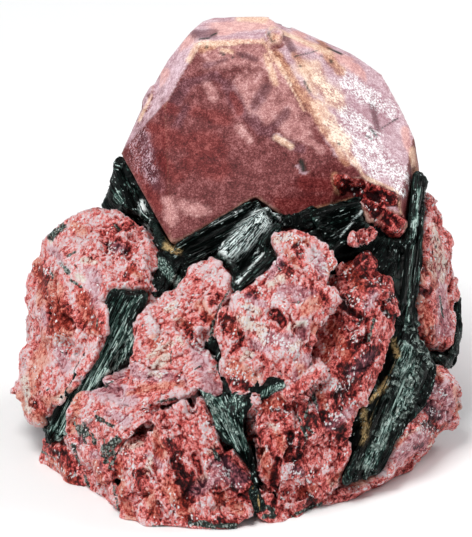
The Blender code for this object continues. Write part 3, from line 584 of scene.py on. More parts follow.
# Aegirine sprays, on the display plane: the two corners of the end the needles spread from,
# and the two corners of the far end.
SPRAYS = [
    ((-7.4, 2.6, 9.2), (-6.2, 0.8, 8.6), (5.8, 6.0, 8.2), (2.4, 8.4, 8.6)),
    ((2.6, 6.6, 9.2), (5.2, 5.2, 9.0), (0.6, -2.2, 11.2), (-2.4, 1.6, 9.6)),
    ((4.3, 2.6, 10.4), (5.0, 1.0, 11.4), (0.0, -3.2, 12.6), (-0.5, -1.6, 11.4)),
    ((15.4, 8.4, 7.6), (16.6, 5.2, 7.8), (11.6, 2.0, 10.2), (9.0, 6.6, 8.4)),
    ((-11.0, -3.2, 10.2), (-15.2, -3.0, 9.8), (-24.0, -21.6, 3.2), (-20.6, -21.2, 6.4)),
    ((1.2, -24.2, 15.3), (2.0, -24.2, 15.3), (2.6, -15.6, 16.0), (-4.8, -14.8, 15.6)),
    ((22.3, 12.2, 1.2), (23.6, 11.0, -0.4), (22.0, -5.0, 6.4), (20.3, -5.0, 7.8)),
    ((20.8, -9.0, 9.6), (23.8, -10.6, 6.2), (17.8, -25.2, 10.4), (12.8, -27.0, 12.2)),
    ((27.2, -2.4, -8.0), (28.3, -4.7, -7.5), (27.6, -12.6, -5.4), (26.4, -12.8, -4.6)),
    ((-14.6, 13.0, -3.4), (-16.4, 9.0, -3.0), (-8.6, 1.6, 7.4), (-10.4, 1.0, 7.0)),
]

# ---------------------------------------------------------------- places


def seen(across, up, out):
    """Upright point of a display-plane point, before the CAD model was centred on its base."""
    return np.array([
        across,
        up * math.sin(LEAN) - out * math.cos(LEAN),
        up * math.cos(LEAN) + out * math.sin(LEAN) + PLANE_HEIGHT,
    ])


# The large crystal's left and rear corners show how far the CAD model was moved to centre it.
LEFT_CORNER = (-14.4, 14.4, -3.0)
REAR_CORNER = (6.0, 24.0, -21.0)
main_low, main_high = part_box(MAIN)
SHIFT = np.array([
    main_low.x / MM - seen(*LEFT_CORNER)[0], main_high.y / MM - seen(*REAR_CORNER)[1], 0.0])
AXIS_UP = seen(0, 1, 0) - seen(0, 0, 0)
AXIS_OUT = seen(0, 0, 1) - seen(0, 0, 0)


def placed(across, up, out):
    """Point in the row frame of a display-plane point."""
    return seen(across, up, out) + SHIFT


def off_chart(right, down, out):
    """Point in the row frame that is so far out at a place on the chart."""
    return placed((right - CHART_MIDDLE[0]) * CHART_STEP, (CHART_MIDDLE[1] - down) * CHART_STEP,
                  out)


def charted(points):
    """Place on the chart, to the right and down, and how far out, of points in the row frame."""
    away = points - SHIFT - seen(0, 0, 0)
    return np.stack([CHART_MIDDLE[0] + away[:, 0] / CHART_STEP,
                     CHART_MIDDLE[1] - away @ AXIS_UP / CHART_STEP, away @ AXIS_OUT], axis=1)


def unit(vectors):
    return vectors / np.maximum(np.linalg.norm(vectors, axis=-1, keepdims=True), 1e-9)


# Corners of each spray of needles in the row frame.
SPRAY_CORNERS = [[placed(*corner) for corner in corners] for corners in SPRAYS]


# ---------------------------------------------------------------- noise

# Factors that scramble whole numbers, and shifts that mix their digits.
PLACE_FACTORS = (73856093, 19349663, 83492791)
SEED_FACTOR, CHANNEL_FACTOR = 2654435761, 974634777
MIXING = ((15, 2246822519), (13, 3266489917))
LAST_SHIFT = 16
LARGEST = 0xFFFFFFFF


def hashed(ix, iy, iz, seed, channel=0):
    """Numbers from 0 to 1 that look random and depend only on the integers given."""
    mixed = np.uint32((seed * SEED_FACTOR + channel * CHANNEL_FACTOR) & LARGEST)
    for place, factor in zip((ix, iy, iz), PLACE_FACTORS):
        mixed = mixed ^ place.astype(np.uint32) * np.uint32(factor)
    for turn, factor in MIXING:
        mixed ^= mixed >> np.uint32(turn)
        mixed *= np.uint32(factor)
    mixed ^= mixed >> np.uint32(LAST_SHIFT)
    return mixed.astype(np.float64) / LARGEST


def value_noise(points, seed):
    """Smooth noise, -1 to 1, about one swell per unit."""
    base = np.floor(points).astype(np.int64)
    part = points - base
    part = part * part * (3.0 - 2.0 * part)
    total = np.zeros(len(points))
    for corner in np.ndindex(2, 2, 2):
        weight = np.prod(np.where(corner, part, 1.0 - part), axis=1)
        total += weight * hashed(*(base + corner).T, seed)
    return total * 2.0 - 1.0


def rough_noise(points, seed, octaves=3):
    """Noise with finer swells on it, -1 to 1."""
    levels = [value_noise(points * 2.0 ** o + 17.3 * o, seed + o) * 0.5 ** o
              for o in range(octaves)]
    return sum(levels) / (2.0 - 0.5 ** (octaves - 1))


def cells(points, seed):
    """Scattered cells: distance to the nearest centre and to the next, the offset from the
    nearest, and three random numbers that belong to it."""
    base = np.floor(points).astype(np.int64)
    near = np.full(len(points), 9.0)
    after = near.copy()
    offset = np.zeros((len(points), 3))
    home = base.copy()
    for step in np.ndindex(3, 3, 3):
        cell = base + np.array(step) - 1
        centre = cell + np.stack([hashed(*cell.T, seed, c) for c in (1, 2, 3)], axis=1)
        away = points - centre
        gap = np.linalg.norm(away, axis=1)
        closer = gap < near
        after = np.where(closer, near, np.minimum(after, gap))
        near = np.where(closer, gap, near)
        offset[closer] = away[closer]
        home[closer] = cell[closer]
    own = np.stack([hashed(*home.T, seed, c) for c in (4, 5, 6)], axis=1)
    return near, after, offset, own


def grains(points, size, seed):
    """Height, about -1 to 1, of packed grains: each is a leaning facet at its own level, and
    crevices run between them."""
    near, after, offset, own = cells(points / size, seed)
    lean = ((own * 2.0 - 1.0) * offset).sum(axis=1) * GRAIN_TILT
    depth, width = CREVICE
    return own[:, 0] + own[:, 1] - 1.0 + lean - depth * np.exp((near - after) / width)


def smooth(values, low, high):
    """0 below low, 1 above high, and a smooth rise between."""
    part = np.clip((values - low) / (high - low), 0.0, 1.0)
    return part * part * (3.0 - 2.0 * part)


# ---------------------------------------------------------------- meshes


def added(name, data):
    """New object in the scene."""
    item = bpy.data.objects.new(name, data)
    bpy.context.scene.collection.objects.link(item)
    return item


def points_of(mesh):
    """Vertices in mm."""
    points = np.zeros(len(mesh.vertices) * 3)
    mesh.vertices.foreach_get("co", points)
    return points.reshape(-1, 3) / MM


def shape_of(*meshes):
    """Vertices, in mm, and triangles of meshes taken together."""
    points, triangles, count = [], [], 0
    for mesh in meshes:
        mesh.calc_loop_triangles()
        corners = np.zeros(len(mesh.loop_triangles) * 3, np.int32)
        mesh.loop_triangles.foreach_get("vertices", corners)
        points.append(points_of(mesh))
        triangles.append(corners.reshape(-1, 3) + count)
        count += len(mesh.vertices)
    return np.concatenate(points), np.concatenate(triangles)


def tree_of(*meshes):
    """Search tree over meshes, in mm."""
    points, triangles = shape_of(*meshes)
    return BVHTree.FromPolygons(points.tolist(), triangles.tolist())


def tree_without(*nodes):
    """Search tree over the CAD solids, apart from some nodes."""
    return tree_of(*(SOLIDS[node] for node in sorted(set(SOLIDS) - set(nodes))))


TREES = {node: tree_of(mesh) for node, mesh in SOLIDS.items()}


def move_to(mesh, points):
    """Moves a mesh's vertices and returns its new normals."""
    mesh.vertices.foreach_set("co", (points * MM).ravel())
    mesh.update()
    normals = np.zeros(len(points) * 3)
    mesh.vertices.foreach_get("normal", normals)
    return normals.reshape(-1, 3)


def settled(mesh, points):
    """Points kept above the base, and the mesh's normals there."""
    points[:, 2] = np.maximum(points[:, 2], 0.0)
    return points, move_to(mesh, points)


def relaxed(values, mesh, rounds):
    """Each vertex's values moved half-way to its neighbours' mean, a few times over."""
    edges = np.zeros(len(mesh.edges) * 2, np.int32)
    mesh.edges.foreach_get("vertices", edges)
    edges = edges.reshape(-1, 2)
    count = np.bincount(edges.ravel(), minlength=len(values))[:, None]
    for _ in range(rounds):
        total = np.stack([
            np.bincount(edges[:, 0], column[edges[:, 1]], len(values))
            + np.bincount(edges[:, 1], column[edges[:, 0]], len(values))
            for column in values.T], axis=1)
        values = values + 0.5 * (total / count - values)
    return values


def applied(item):
    """Gives an object the mesh that its modifiers make."""
    graph = bpy.context.evaluated_depsgraph_get()
    before = item.data
    item.data = bpy.data.meshes.new_from_object(item.evaluated_get(graph))
    item.modifiers.clear()
    bpy.data.meshes.remove(before)


def object_of(work, name, grid):
    """Object with an even, fine mesh over a bmesh's surface."""
    mesh = bpy.data.meshes.new(name)
    work.to_mesh(mesh)
    work.free()
    item = added(name, mesh)
    modifier = item.modifiers.new("Remesh", "REMESH")
    modifier.mode = "VOXEL"
    modifier.voxel_size = grid * MM
    applied(item)
    item.data.shade_smooth()
    return item


def fine_copy(name, node, grid):
    """Object with an even, fine mesh over a CAD node's surface."""
    work = bmesh.new()
    work.from_mesh(SOLIDS[node])
    bmesh.ops.remove_doubles(work, verts=work.verts, dist=WELD)
    return object_of(work, name, grid)


def slab(name, outline, thickness):
    """Object that fills an outline drawn on the chart, down to a thickness behind it, with its
    points and normals."""
    work = bmesh.new()
    top, back = (
        [work.verts.new(off_chart(right, down, out - behind) * MM)
         for right, down, out in outline] for behind in (0.0, thickness))
    flat = [(right, -down, 0.0) for right, down, out in outline]
    for a, b, c in tessellate_polygon([flat]):
        work.faces.new((top[a], top[b], top[c]))
        work.faces.new((back[c], back[b], back[a]))
    for turn in range(len(outline)):
        work.faces.new((top[turn - 1], back[turn - 1], back[turn], top[turn]))
    bmesh.ops.recalc_face_normals(work, faces=work.faces)
    item = object_of(work, name, SLAB_GRID)
    mesh = item.data
    points = relaxed(points_of(mesh), mesh, FACE_ROUNDS)
    front = smooth(move_to(mesh, points) @ AXIS_OUT, *SLAB_FRONT)
    here = charted(points)
    corners = np.array(outline, float)
    # The front is as far out at each place as the corners near it, mixed by their distance.
    away = ((here[:, None, :2] - corners[None, :, :2]) ** 2).sum(axis=2)
    near = 1.0 / (away + CORNER_BLUR) ** CORNER_FADE
    level = (near * corners[:, 2]).sum(axis=1) / near.sum(axis=1)
    points = points + (front * (level - here[:, 2]))[:, None] * AXIS_OUT
    return item, *settled(mesh, relaxed(points, mesh, FACE_ROUNDS))


def thin_hidden(item, hidden):
    """Coarsens a fine mesh where neighbours hide it."""
    rounds, least = HIDDEN_RIM
    share = relaxed(hidden[:, None].astype(float), item.data, rounds)[:, 0]
    deep = (share > least).nonzero()[0]
    group = item.vertex_groups.new(name="hidden")
    group.add(deep.tolist(), 1.0, "REPLACE")
    modifier = item.modifiers.new("Thin", "DECIMATE")
    modifier.vertex_group = group.name
    modifier.vertex_group_factor = HIDDEN_WEIGHT
    modifier.ratio = 1.0 - (1.0 - HIDDEN_KEPT) * len(deep) / len(hidden)
    applied(item)
    item.vertex_groups.clear()


def paint(mesh, name, *layers):
    """Keeps up to three layers of numbers as a colour attribute."""
    values = np.zeros((len(mesh.vertices), 4), np.float32)
    values[:, 3] = 1.0
    for channel, layer in enumerate(layers):
        values[:, channel] = layer
    attribute = mesh.attributes.new(name, "FLOAT_COLOR", "POINT")
    attribute.data.foreach_set("color", values.ravel())


def carry(mesh, name, vectors):
    """Keeps a vector for each vertex."""
    attribute = mesh.attributes.new(name, "FLOAT_VECTOR", "POINT")
    attribute.data.foreach_set("vector", vectors.astype(np.float32).ravel())


def height_of(mesh, points, normals, crest):
    """0 in crevices, 0.5 on flats and 1 on crests."""
    rounds, reach = crest
    rise = ((points - relaxed(points, mesh, rounds)) * normals).sum(axis=1)
    return np.clip(0.5 + 0.5 * rise / reach, 0.0, 1.0)


# ---------------------------------------------------------------- marks

FAR_OUT = 60.0          # in front of the whole specimen
MID_OUT = 8.0           # about as far out as its skin
LEVEL_SLACK = 1.5       # a mark reaches skin this much nearer or farther than its line
LEVEL_REACH = (7.0, 9.0)    # and a level fades out over these distances from its line
LEVEL_FACING = (-0.1, 0.4)  # how far the skin that it moves faces the viewer
LEVEL_RAGGED, LEVEL_SOFT = 0.5, (0.7, 1.3)
AWAY = (0.0, 0.35)      # how far the skin without marks faces away
RAGGED_WIDTH = 1.3      # swells of a ragged border
RAGGED_RELIEF = 1.2     # and how ragged the borders of the relief are
TINTS = ("cream", "mauve", "deep", "orange", "green", "glint", "pink", "broken", "dusted")


def on_skin(tree, right, down):
    """Place on the chart, with how far out a solid's skin is there."""
    hit = tree.ray_cast(Vector(off_chart(right, down, FAR_OUT)), Vector(-AXIS_OUT))[0]
    if hit is None:
        hit = tree.find_nearest(Vector(off_chart(right, down, MID_OUT)))[0]
    return np.array([right, down, charted(np.array([hit]))[0, 2]])


def off_line(here, start, end):
    """From the nearest place on a line across the chart to each place."""
    span = (end - start)[:2]
    share = np.clip((here[:, :2] - start[:2]) @ span / max(span @ span, 1e-9), 0.0, 1.0)
    return here - start - share[:, None] * (end - start)


def marked(points, strokes, tree, seed, edge=0.7, soft=(0.55, 1.25)):
    """Strength, 0 to 1, of strokes on the skin, with ragged borders."""
    strength = np.zeros(len(points))
    if strokes:
        ragged = rough_noise(points / RAGGED_WIDTH, seed, 4) * edge
        here = charted(points)
        for *line, half_width in strokes:
            gap = off_line(here, on_skin(tree, *line[:2]), on_skin(tree, *line[2:]))
            behind = np.maximum(np.abs(gap[:, 2]) - LEVEL_SLACK, 0.0) / CHART_STEP
            gap = np.linalg.norm(np.stack([*gap[:, :2].T, behind]), axis=0)
            strength = np.maximum(strength, 1.0 - smooth(gap / half_width + ragged, *soft))
    return strength


def relief_at(points, node, seed):
    """Height of a node's own relief."""
    return sum((height * marked(points, [stroke], TREES[node], seed, RAGGED_RELIEF)
                for *stroke, height in RELIEF.get(node, [])), np.zeros(len(points)))


def levelled(mesh, points, node, seed):
    """Points of a node moved out or in to its levels, where the skin faces the viewer, and the
    normals there."""
    facing = smooth(move_to(mesh, points) @ AXIS_OUT, *LEVEL_FACING)
    ragged = rough_noise(points / RAGGED_WIDTH, seed + LEVEL_SEED, 3) * LEVEL_RAGGED
    for *line, half_width, level in LEVELS.get(node, []):
        here = charted(points)
        gap = off_line(here[:, :2], np.array(line[:2]), np.array(line[2:]))
        gap = np.linalg.norm(gap, axis=1) / half_width
        near = 1.0 - smooth(np.abs(here[:, 2] - level), *LEVEL_REACH)
        strength = (1.0 - smooth(gap + ragged, *LEVEL_SOFT)) * facing * near
        points = points + (strength * (level - here[:, 2]))[:, None] * AXIS_OUT
    return points, move_to(mesh, points)


def turned_away(normals):
    """How far the skin faces away from the chart's viewer, where no mark is drawn."""
    return smooth(-(normals @ AXIS_OUT), *AWAY)


def tinted(mesh, points, normals, marks, tree, seed, paleness, edge=0.9, soft=(0.5, 1.3),
           patches=PATCHES):
    """Paints the colour layers of a eudialyte crystal."""
    layer = {kind: marked(points, marks.get(kind, []), tree, seed + turn, edge, soft)
             for turn, kind in enumerate(TINTS)}
    for turn, (kind, (width, level)) in enumerate(patches.items()):
        noise = rough_noise(points / width, seed + PATCH_SEED + turn, 3)
        patch = smooth(noise, level, level + PATCH_RISE)
        layer[kind] = np.maximum(layer[kind], PATCH_STRENGTH * turned_away(normals) * patch)
    paint(mesh, "tint_a", layer["cream"], layer["mauve"], layer["deep"])
    paint(mesh, "tint_b", layer["orange"], layer["green"], layer["glint"])
    # The crest layer darkens crevices and lightens crests in the broken colour: painted shade and light. On
    # faces it also places wear on crests.
    paint(mesh, "tint_c", layer["pink"], layer["broken"],
          height_of(mesh, points, normals, CREST))
    paint(mesh, "tint_d", paleness, layer["dusted"])


# ---------------------------------------------------------------- crystals


def seam_gaps(points, others, reach=SEAM_REACH):
    """Distance of each point to the nearest neighbour, up to reach."""
    found = (others.find_nearest(Vector(point), reach)[3] for point in points)
    return np.array([reach if gap is None else gap for gap in found])


def seams(points, node):
    """Distance of each point of a node to its neighbours, and how far it closes up to them."""
    gaps = seam_gaps(points, tree_without(node))
    near = 1.0 - smooth(gaps, SEAM_FADE, SEAM_REACH)
    return gaps, np.maximum(gaps - SEAM_LEFT, 0.0) * 0.5 * near


def grain_of(node):
    """Direction of a broken crystal's grain in the row frame."""
    across, up, out = GRAIN.get(node, OTHER_GRAIN)
    return unit(np.array([across, 0.0, 0.0]) + up * AXIS_UP + out * AXIS_OUT)


def along_grain(points, node):
    """Places in which the grain is as long as it is wide."""
    axis = grain_of(node)
    return points - GRAIN_STRETCH * (points @ axis)[:, None] * axis


def broken_relief(points, node, seed):
    places = along_grain(points, node)
    return sum(height * grains(places, width, seed + turn)
               for turn, (width, height) in enumerate(BROKEN_GRAINS))


def broken_marks(node):
    """Marks of a crystal's broken skin.  The large crystal's own are for its faces."""
    return {} if node == MAIN else MARKS.get(node, {})


def calm_at(points, node, tree, seed):
    """Share of the broken relief that is left where a crystal is smooth."""
    strokes = broken_marks(node).get("smooth", [])
    return 1.0 - CALM * marked(points, strokes, tree, seed + CALM_SEED)


def broken_tints(mesh, points, normals, node, tree, seed):
    """Paints a piece of broken crystal."""
    width, strength = PALE_DRIFT
    pale = PALENESS[node] + strength * rough_noise(points / width, seed + PALE_SEED, 2)
    tinted(mesh, points, normals, broken_marks(node), tree, seed + TINT_SEED, pale)
    carry(mesh, "grain", along_grain(points, node))


def broken_crystal(node, seed):
    item = fine_copy(node + "_skin", node, BACK_GRID if "back" in node else BROKEN_GRID)
    mesh, tree = item.data, TREES[node]
    points = relaxed(points_of(mesh), mesh, SKIN_ROUNDS)
    points, normals = levelled(mesh, points, node, seed)
    gaps, closing = seams(points, node)
    free = (0.5 + 0.5 * smooth(gaps, *SEAM_FREE)) * smooth(points[:, 2], *FLOOR_FADE)
    kin = seam_gaps(points, tree_without(node, MAIN, MASS), KIN_REACH)
    radial = (normals * unit((points - HEART) / SKIN ** 2)).sum(axis=1)
    growth = KIN_GROWTH * (1.0 - smooth(kin, KIN_FADE, KIN_REACH)) * (1.0 - radial ** 4)
    width, depth = HOLLOW
    hollow = smooth(rough_noise(points / width, seed + HOLLOW_SEED, 2), *HOLLOW_START)
    rise = (np.maximum(closing, growth)
            + free * broken_relief(points, node, seed) * calm_at(points, node, tree, seed)
            + relief_at(points, node, seed + RELIEF_SEED)
            - depth * free * turned_away(normals) * hollow)
    points, normals = settled(mesh, points + normals * rise[:, None])
    broken_tints(mesh, points, normals, node, tree, seed)
    thin_hidden(item, gaps < HIDDEN_GAP)
    return item


def main_crystal(seed):
    item = fine_copy("main_crystal_skin", MAIN, MAIN_GRID)
    mesh, tree, marks = item.data, TREES[MAIN], MARKS[MAIN]
    points = np.array([tree.find_nearest(Vector(point))[0] for point in points_of(mesh)])
    points, normals = levelled(mesh, relaxed(points, mesh, FACE_ROUNDS), MAIN, seed)
    broken = marked(points, marks["broken"], tree, seed + CALM_SEED)
    swell = sum(height * rough_noise(points / width, seed, 2) for width, height in FACE_SWELLS)
    rise = (swell + broken * broken_relief(points, MAIN, seed)
            + relief_at(points, MAIN, seed + RELIEF_SEED))
    points, normals = settled(mesh, points + normals * rise[:, None])
    # Faces that look up are painted paler: partly their frosted etching, partly painted light from above.
    pale = smooth(normals @ AXIS_UP, *FACE_TURN) * (1.0 - broken)
    tinted(mesh, points, normals, marks, tree, seed + TINT_SEED, pale, 0.6, (0.1, 1.6),
           FACE_PATCHES)
    carry(mesh, "grain", along_grain(points, MAIN))
    return item


def filler(name, seed):
    """Piece of a broken crystal between its solid and its neighbours."""
    node, thickness, outline = FILLERS[name]
    item, points, normals = slab(name, outline, thickness)
    mesh, tree = item.data, tree_of(item.data)
    free = calm_at(points, node, tree, seed) * smooth(points[:, 2], *FLOOR_FADE)
    rise = free * broken_relief(points, node, seed)
    points, normals = settled(mesh, points + normals * rise[:, None])
    broken_tints(mesh, points, normals, node, tree_of(mesh), seed)
    thin_hidden(item, normals @ AXIS_OUT < FILLER_BACK)
    return item


# ---------------------------------------------------------------- aegirine


def within(values, limits):
    return (values > limits[0]) & (values < limits[1])


def sprays_at(points):
    """Direction of the needles and place among them, (along, across, deep), at each point."""
    own = cells(points / PATCH, NEEDLE_PATCHES)[3]
    way = unit(own * 2.0 - 1.0 + PATCH_LEAN)
    side = unit(np.cross(way, PATCH_SIDE))
    deep = np.cross(way, side)
    place = np.stack([(points * axis).sum(axis=1) for axis in (way, side, deep)], axis=1)
    for near_a, near_b, far_b, far_a in SPRAY_CORNERS:
        start, end = (near_a + near_b) / 2.0, (far_a + far_b) / 2.0
        axis = end - start
        length = np.linalg.norm(axis)
        share = ((points - start) @ axis) / length ** 2
        held = np.clip(share, 0.0, 1.0)[:, None]
        left = near_a + held * (far_a - near_a)
        width = near_b + held * (far_b - near_b) - left
        across = ((points - left) * width).sum(axis=1) / (width * width).sum(axis=1)
        face = unit(np.cross(axis, far_b - far_a))
        deep_in = (points - start) @ face
        inside = (within(share, SPRAY_ALONG) & within(across, SPRAY_ACROSS)
                  & within(deep_in, (-SPRAY_DEEP, SPRAY_DEEP)))
        spread = np.clip(across, 0.0, 1.0)[:, None]
        heading = unit((far_a - near_a) * (1.0 - spread) + (far_b - near_b) * spread)
        way[inside] = heading[inside]
        mean_width = (np.linalg.norm(near_b - near_a) + np.linalg.norm(far_b - far_a)) / 2.0
        here = np.stack([share * length, across * mean_width, deep_in], axis=1)
        place[inside] = here[inside]
    return way, place


def ribbed(item, seed, points, normals, free, tree):
    """Ribs along the needles on a piece of aegirine, and its colour layers."""
    mesh = item.data
    layer = {kind: marked(points, strokes, tree, seed + turn)
             for turn, (kind, strokes) in enumerate(AEGIRINE_MARKS.items())}
    place = sprays_at(points)[1]
    ribs = sum(height * value_noise(place * swells, seed + turn)
               for turn, (height, swells) in enumerate(RIBS))
    ribs = (ribs + LUMPS[1] * grains(points, LUMPS[0], seed + 2)
            + layer["grey"] * GREY_GRAINS[1] * grains(points, GREY_GRAINS[0], seed + 3))
    points, normals = settled(mesh, points + normals * (free * ribs)[:, None])
    paint(mesh, "tint_a", layer["silver"], layer["grey"], layer["tan"])
    # The crest layer and the lit marks paint light onto the aegirine's colour.
    paint(mesh, "tint_b", height_of(mesh, points, normals, RIB_CREST), layer["lit"])
    carry(mesh, "fibre", place)


def aegirine_mass(seed):
    item = fine_copy("aegirine_mass", MASS, AEGIRINE_GRID)
    mesh = item.data
    points = relaxed(points_of(mesh), mesh, SKIN_ROUNDS)
    points, normals = levelled(mesh, points, MASS, seed)
    gaps, closing = seams(points, MASS)
    free = smooth(gaps, *RIB_FREE) * smooth(points[:, 2], *FLOOR_FADE)
    ribbed(item, seed, points + normals * closing[:, None], normals, free, TREES[MASS])
    thin_hidden(item, gaps < HIDDEN_GAP)
    return item


def aegirine_slab(name, seed):
    """Spray of needles in front of its neighbours."""
    thickness, outline = AEGIRINE_SLABS[name]
    item, points, normals = slab(name, outline, thickness)
    ribbed(item, seed, points, normals, np.ones(len(points)), tree_of(item.data))
    return item


def is_open(crystals, point, out):
    """Whether nothing covers a point of the skin."""
    start = Vector(point + out * OPEN_START)
    return crystals.ray_cast(start, Vector(out), OPEN_REACH)[0] is None


def scattered_needles(points, corners, crystals, dice):
    """Lines, each of NEEDLE_STEPS points, of short needles all over the open skin."""
    normal = np.cross(points[corners[:, 1]] - points[corners[:, 0]],
                      points[corners[:, 2]] - points[corners[:, 0]])
    area = np.linalg.norm(normal, axis=1)
    middle = points[corners].mean(axis=1)
    chosen = dice.choice(len(corners), size=SCATTERED, p=area / area.sum())
    chosen = chosen[[is_open(crystals, middle[index], normal[index] / area[index])
                     for index in chosen]]
    out = normal[chosen] / area[chosen][:, None]
    way = sprays_at(middle[chosen])[0]
    way = unit(way - out * (way * out).sum(axis=1)[:, None])
    way = unit(way + dice.normal(0.0, SHORT_TURN, (len(chosen), 3)))
    length = dice.uniform(*SHORT, len(chosen))[:, None]
    share = np.linspace(-0.5, 0.5, NEEDLE_STEPS)
    return middle[chosen][:, None] + (way * length)[:, None] * share[None, :, None]


def spray_needles(dice):
    """Lines of long needles that run the length of each spray."""
    lines = []
    for near_a, near_b, far_b, far_a in SPRAY_CORNERS:
        across = dice.uniform(*LONG_ACROSS, LONG)[:, None, None]
        ends = np.sort(dice.uniform(*LONG_ALONG, (LONG, 2)), axis=1)
        share = (ends[:, :1] + (ends[:, 1:] - ends[:, :1])
                 * np.linspace(0.0, 1.0, NEEDLE_STEPS))[:, :, None]
        left = near_a + share * (far_a - near_a)
        right = near_b + share * (far_b - near_b)
        wander = dice.normal(0.0, LONG_WANDER, (LONG, 1, 3)) * share
        lines.append(left + across * (right - left) + wander)
    return np.concatenate(lines)


def laid(lines, tree, crystals):
    """The lines that can lie on the open skin, laid on it without kinks, and the way out from
    the skin at each."""
    kept, outs = [], []
    for line in lines:
        hits = [tree.find_nearest(Vector(point), NEEDLE_LIFT) for point in line]
        if any(hit[0] is None or hit[0].z < NEEDLE_LIFT for hit in hits):
            continue
        skin, out = (np.array([hit[part] for hit in hits]) for part in (0, 1))
        middle = NEEDLE_STEPS // 2
        if is_open(crystals, skin[middle], out[middle]):
            kept.append(skin)
            outs.append(out)
    lines = np.array(kept)
    for _ in range(2):
        lines[:, 1:-1] = (lines[:, :-2] + 2.0 * lines[:, 1:-1] + lines[:, 2:]) / 4.0
    return lines, unit(np.array(outs).mean(axis=1))[:, None]


def needles(pieces, seed):
    """Separate needles that lie on the open skin of the aegirine."""
    points, corners = shape_of(*(piece.data for piece in pieces))
    tree = BVHTree.FromPolygons(points.tolist(), corners.tolist())
    crystals = tree_without(MASS)
    dice = np.random.default_rng(seed)
    tried = np.concatenate([
        scattered_needles(points, corners, crystals, dice), spray_needles(dice)])
    lines, outs = laid(tried, tree, crystals)
    count = len(lines)
    way = unit(np.gradient(lines, axis=1))
    side = unit(np.cross(way, outs))
    top = np.cross(side, way)
    width = dice.uniform(*NEEDLE_WIDTH, count)[:, None, None] / 2.0
    taper = np.interp(np.linspace(0.0, 1.0, NEEDLE_STEPS), *NEEDLE_TAPER)
    width = width * taper[None, :, None]
    verts = np.stack([lines + (side * a + top * b) * width + outs * width * NEEDLE_RISE
                      for a, b in NEEDLE_SECTION], axis=2).reshape(-1, 3)
    per = 3 * NEEDLE_STEPS
    pattern = []
    for ring in range(0, per - 3, 3):
        for a, b in ((0, 1), (1, 2), (2, 0)):
            pattern += [(ring + a, ring + b, ring + 3 + b), (ring + a, ring + 3 + b, ring + 3 + a)]
    pattern += [(2, 1, 0), (per - 3, per - 2, per - 1)]
    faces = (np.array(pattern)[None] + (np.arange(count) * per)[:, None, None]).reshape(-1, 3)
    mesh = bpy.data.meshes.new("aegirine_needles")
    mesh.from_pydata((verts * MM).tolist(), [], faces.tolist())
    silver, grey, tan, lit = (
        marked(verts, strokes, tree, seed + turn)
        for turn, strokes in enumerate(AEGIRINE_MARKS.values()))
    paint(mesh, "tint_a", silver, grey, tan)
    paint(mesh, "tint_b", np.repeat(dice.uniform(0.0, 1.0, count) ** 2, per), lit)
    lone = np.repeat(dice.uniform(0, NEEDLE_SPAN, (count, 2)), per, axis=0)
    run = np.tile(np.repeat(np.arange(NEEDLE_STEPS) * NEEDLE_RUN, 3), count)
    carry(mesh, "fibre", np.stack([run, *lone.T], axis=1))
    return added("aegirine_needles", mesh)


# ---------------------------------------------------------------- materials

# Shades from dark to light, each a linear red, green and blue.
FACE_SHADES = {
    "dark": ((0.050, 0.005, 0.005), (0.165, 0.032, 0.033), (0.42, 0.16, 0.16)),
    # The top-lit shades colour the faces that look up: partly frosted etching, partly painted light from
    # above.
    "etched_and_top_lit": ((0.36, 0.17, 0.20), (0.60, 0.39, 0.44), (0.92, 0.76, 0.82)),
    "dark_bruise": ((0.26, 0.085, 0.085), (0.53, 0.235, 0.225), (0.84, 0.54, 0.52)),
    "etched_and_top_lit_bruise": ((0.52, 0.22, 0.21), (0.76, 0.40, 0.37), (0.98, 0.66, 0.60)),
    "mauve": ((0.035, 0.005, 0.010), (0.105, 0.024, 0.034), (0.34, 0.15, 0.18)),
    "deep": ((0.055, 0.002, 0.003), (0.17, 0.016, 0.015), (0.40, 0.10, 0.09)),
    "orange": ((0.17, 0.045, 0.020), (0.50, 0.21, 0.12), (0.92, 0.60, 0.40)),
    "worn": ((0.52, 0.24, 0.17), (0.86, 0.56, 0.40), (1.0, 0.90, 0.76)),
}
FACE_STOPS = (0.1, 0.5, 0.9)
BROKEN_SHADES = {
    "mauve": ((0.07, 0.012, 0.026), (0.42, 0.14, 0.18), (0.84, 0.55, 0.62)),
    "orange": ((0.10, 0.005, 0.004), (0.60, 0.070, 0.042), (1.0, 0.46, 0.33)),
    "cream": ((0.50, 0.17, 0.14), (0.86, 0.52, 0.43), (1.0, 0.88, 0.80)),
    "green": ((0.005, 0.011, 0.009), (0.035, 0.055, 0.045), (0.36, 0.42, 0.38)),
}
GREY_SHADES = ((0.010, 0.020, 0.017), (0.12, 0.165, 0.145), (0.55, 0.63, 0.59))
TAN_SHADES = ((0.12, 0.07, 0.025), (0.66, 0.47, 0.22))

# Colours of the small things on them.  Glints are painted highlights; the frost is partly etching and
# partly painted glitter, and the dust colour gives sparse painted glints.
BROKEN_GLINT = (1.0, 0.94, 0.96)
FACE_DARK_SPECK = (0.30, 0.10, 0.15)
FACE_GLINT_DUST = (0.86, 0.62, 0.70)
FACE_FROST_GLINT, CREAM_FROST_GLINT = (1.0, 0.98, 1.0), (1.0, 0.90, 0.74)
FACE_GREEN = (0.010, 0.020, 0.016)
NEEDLE_GLINT = (0.60, 0.75, 0.72)


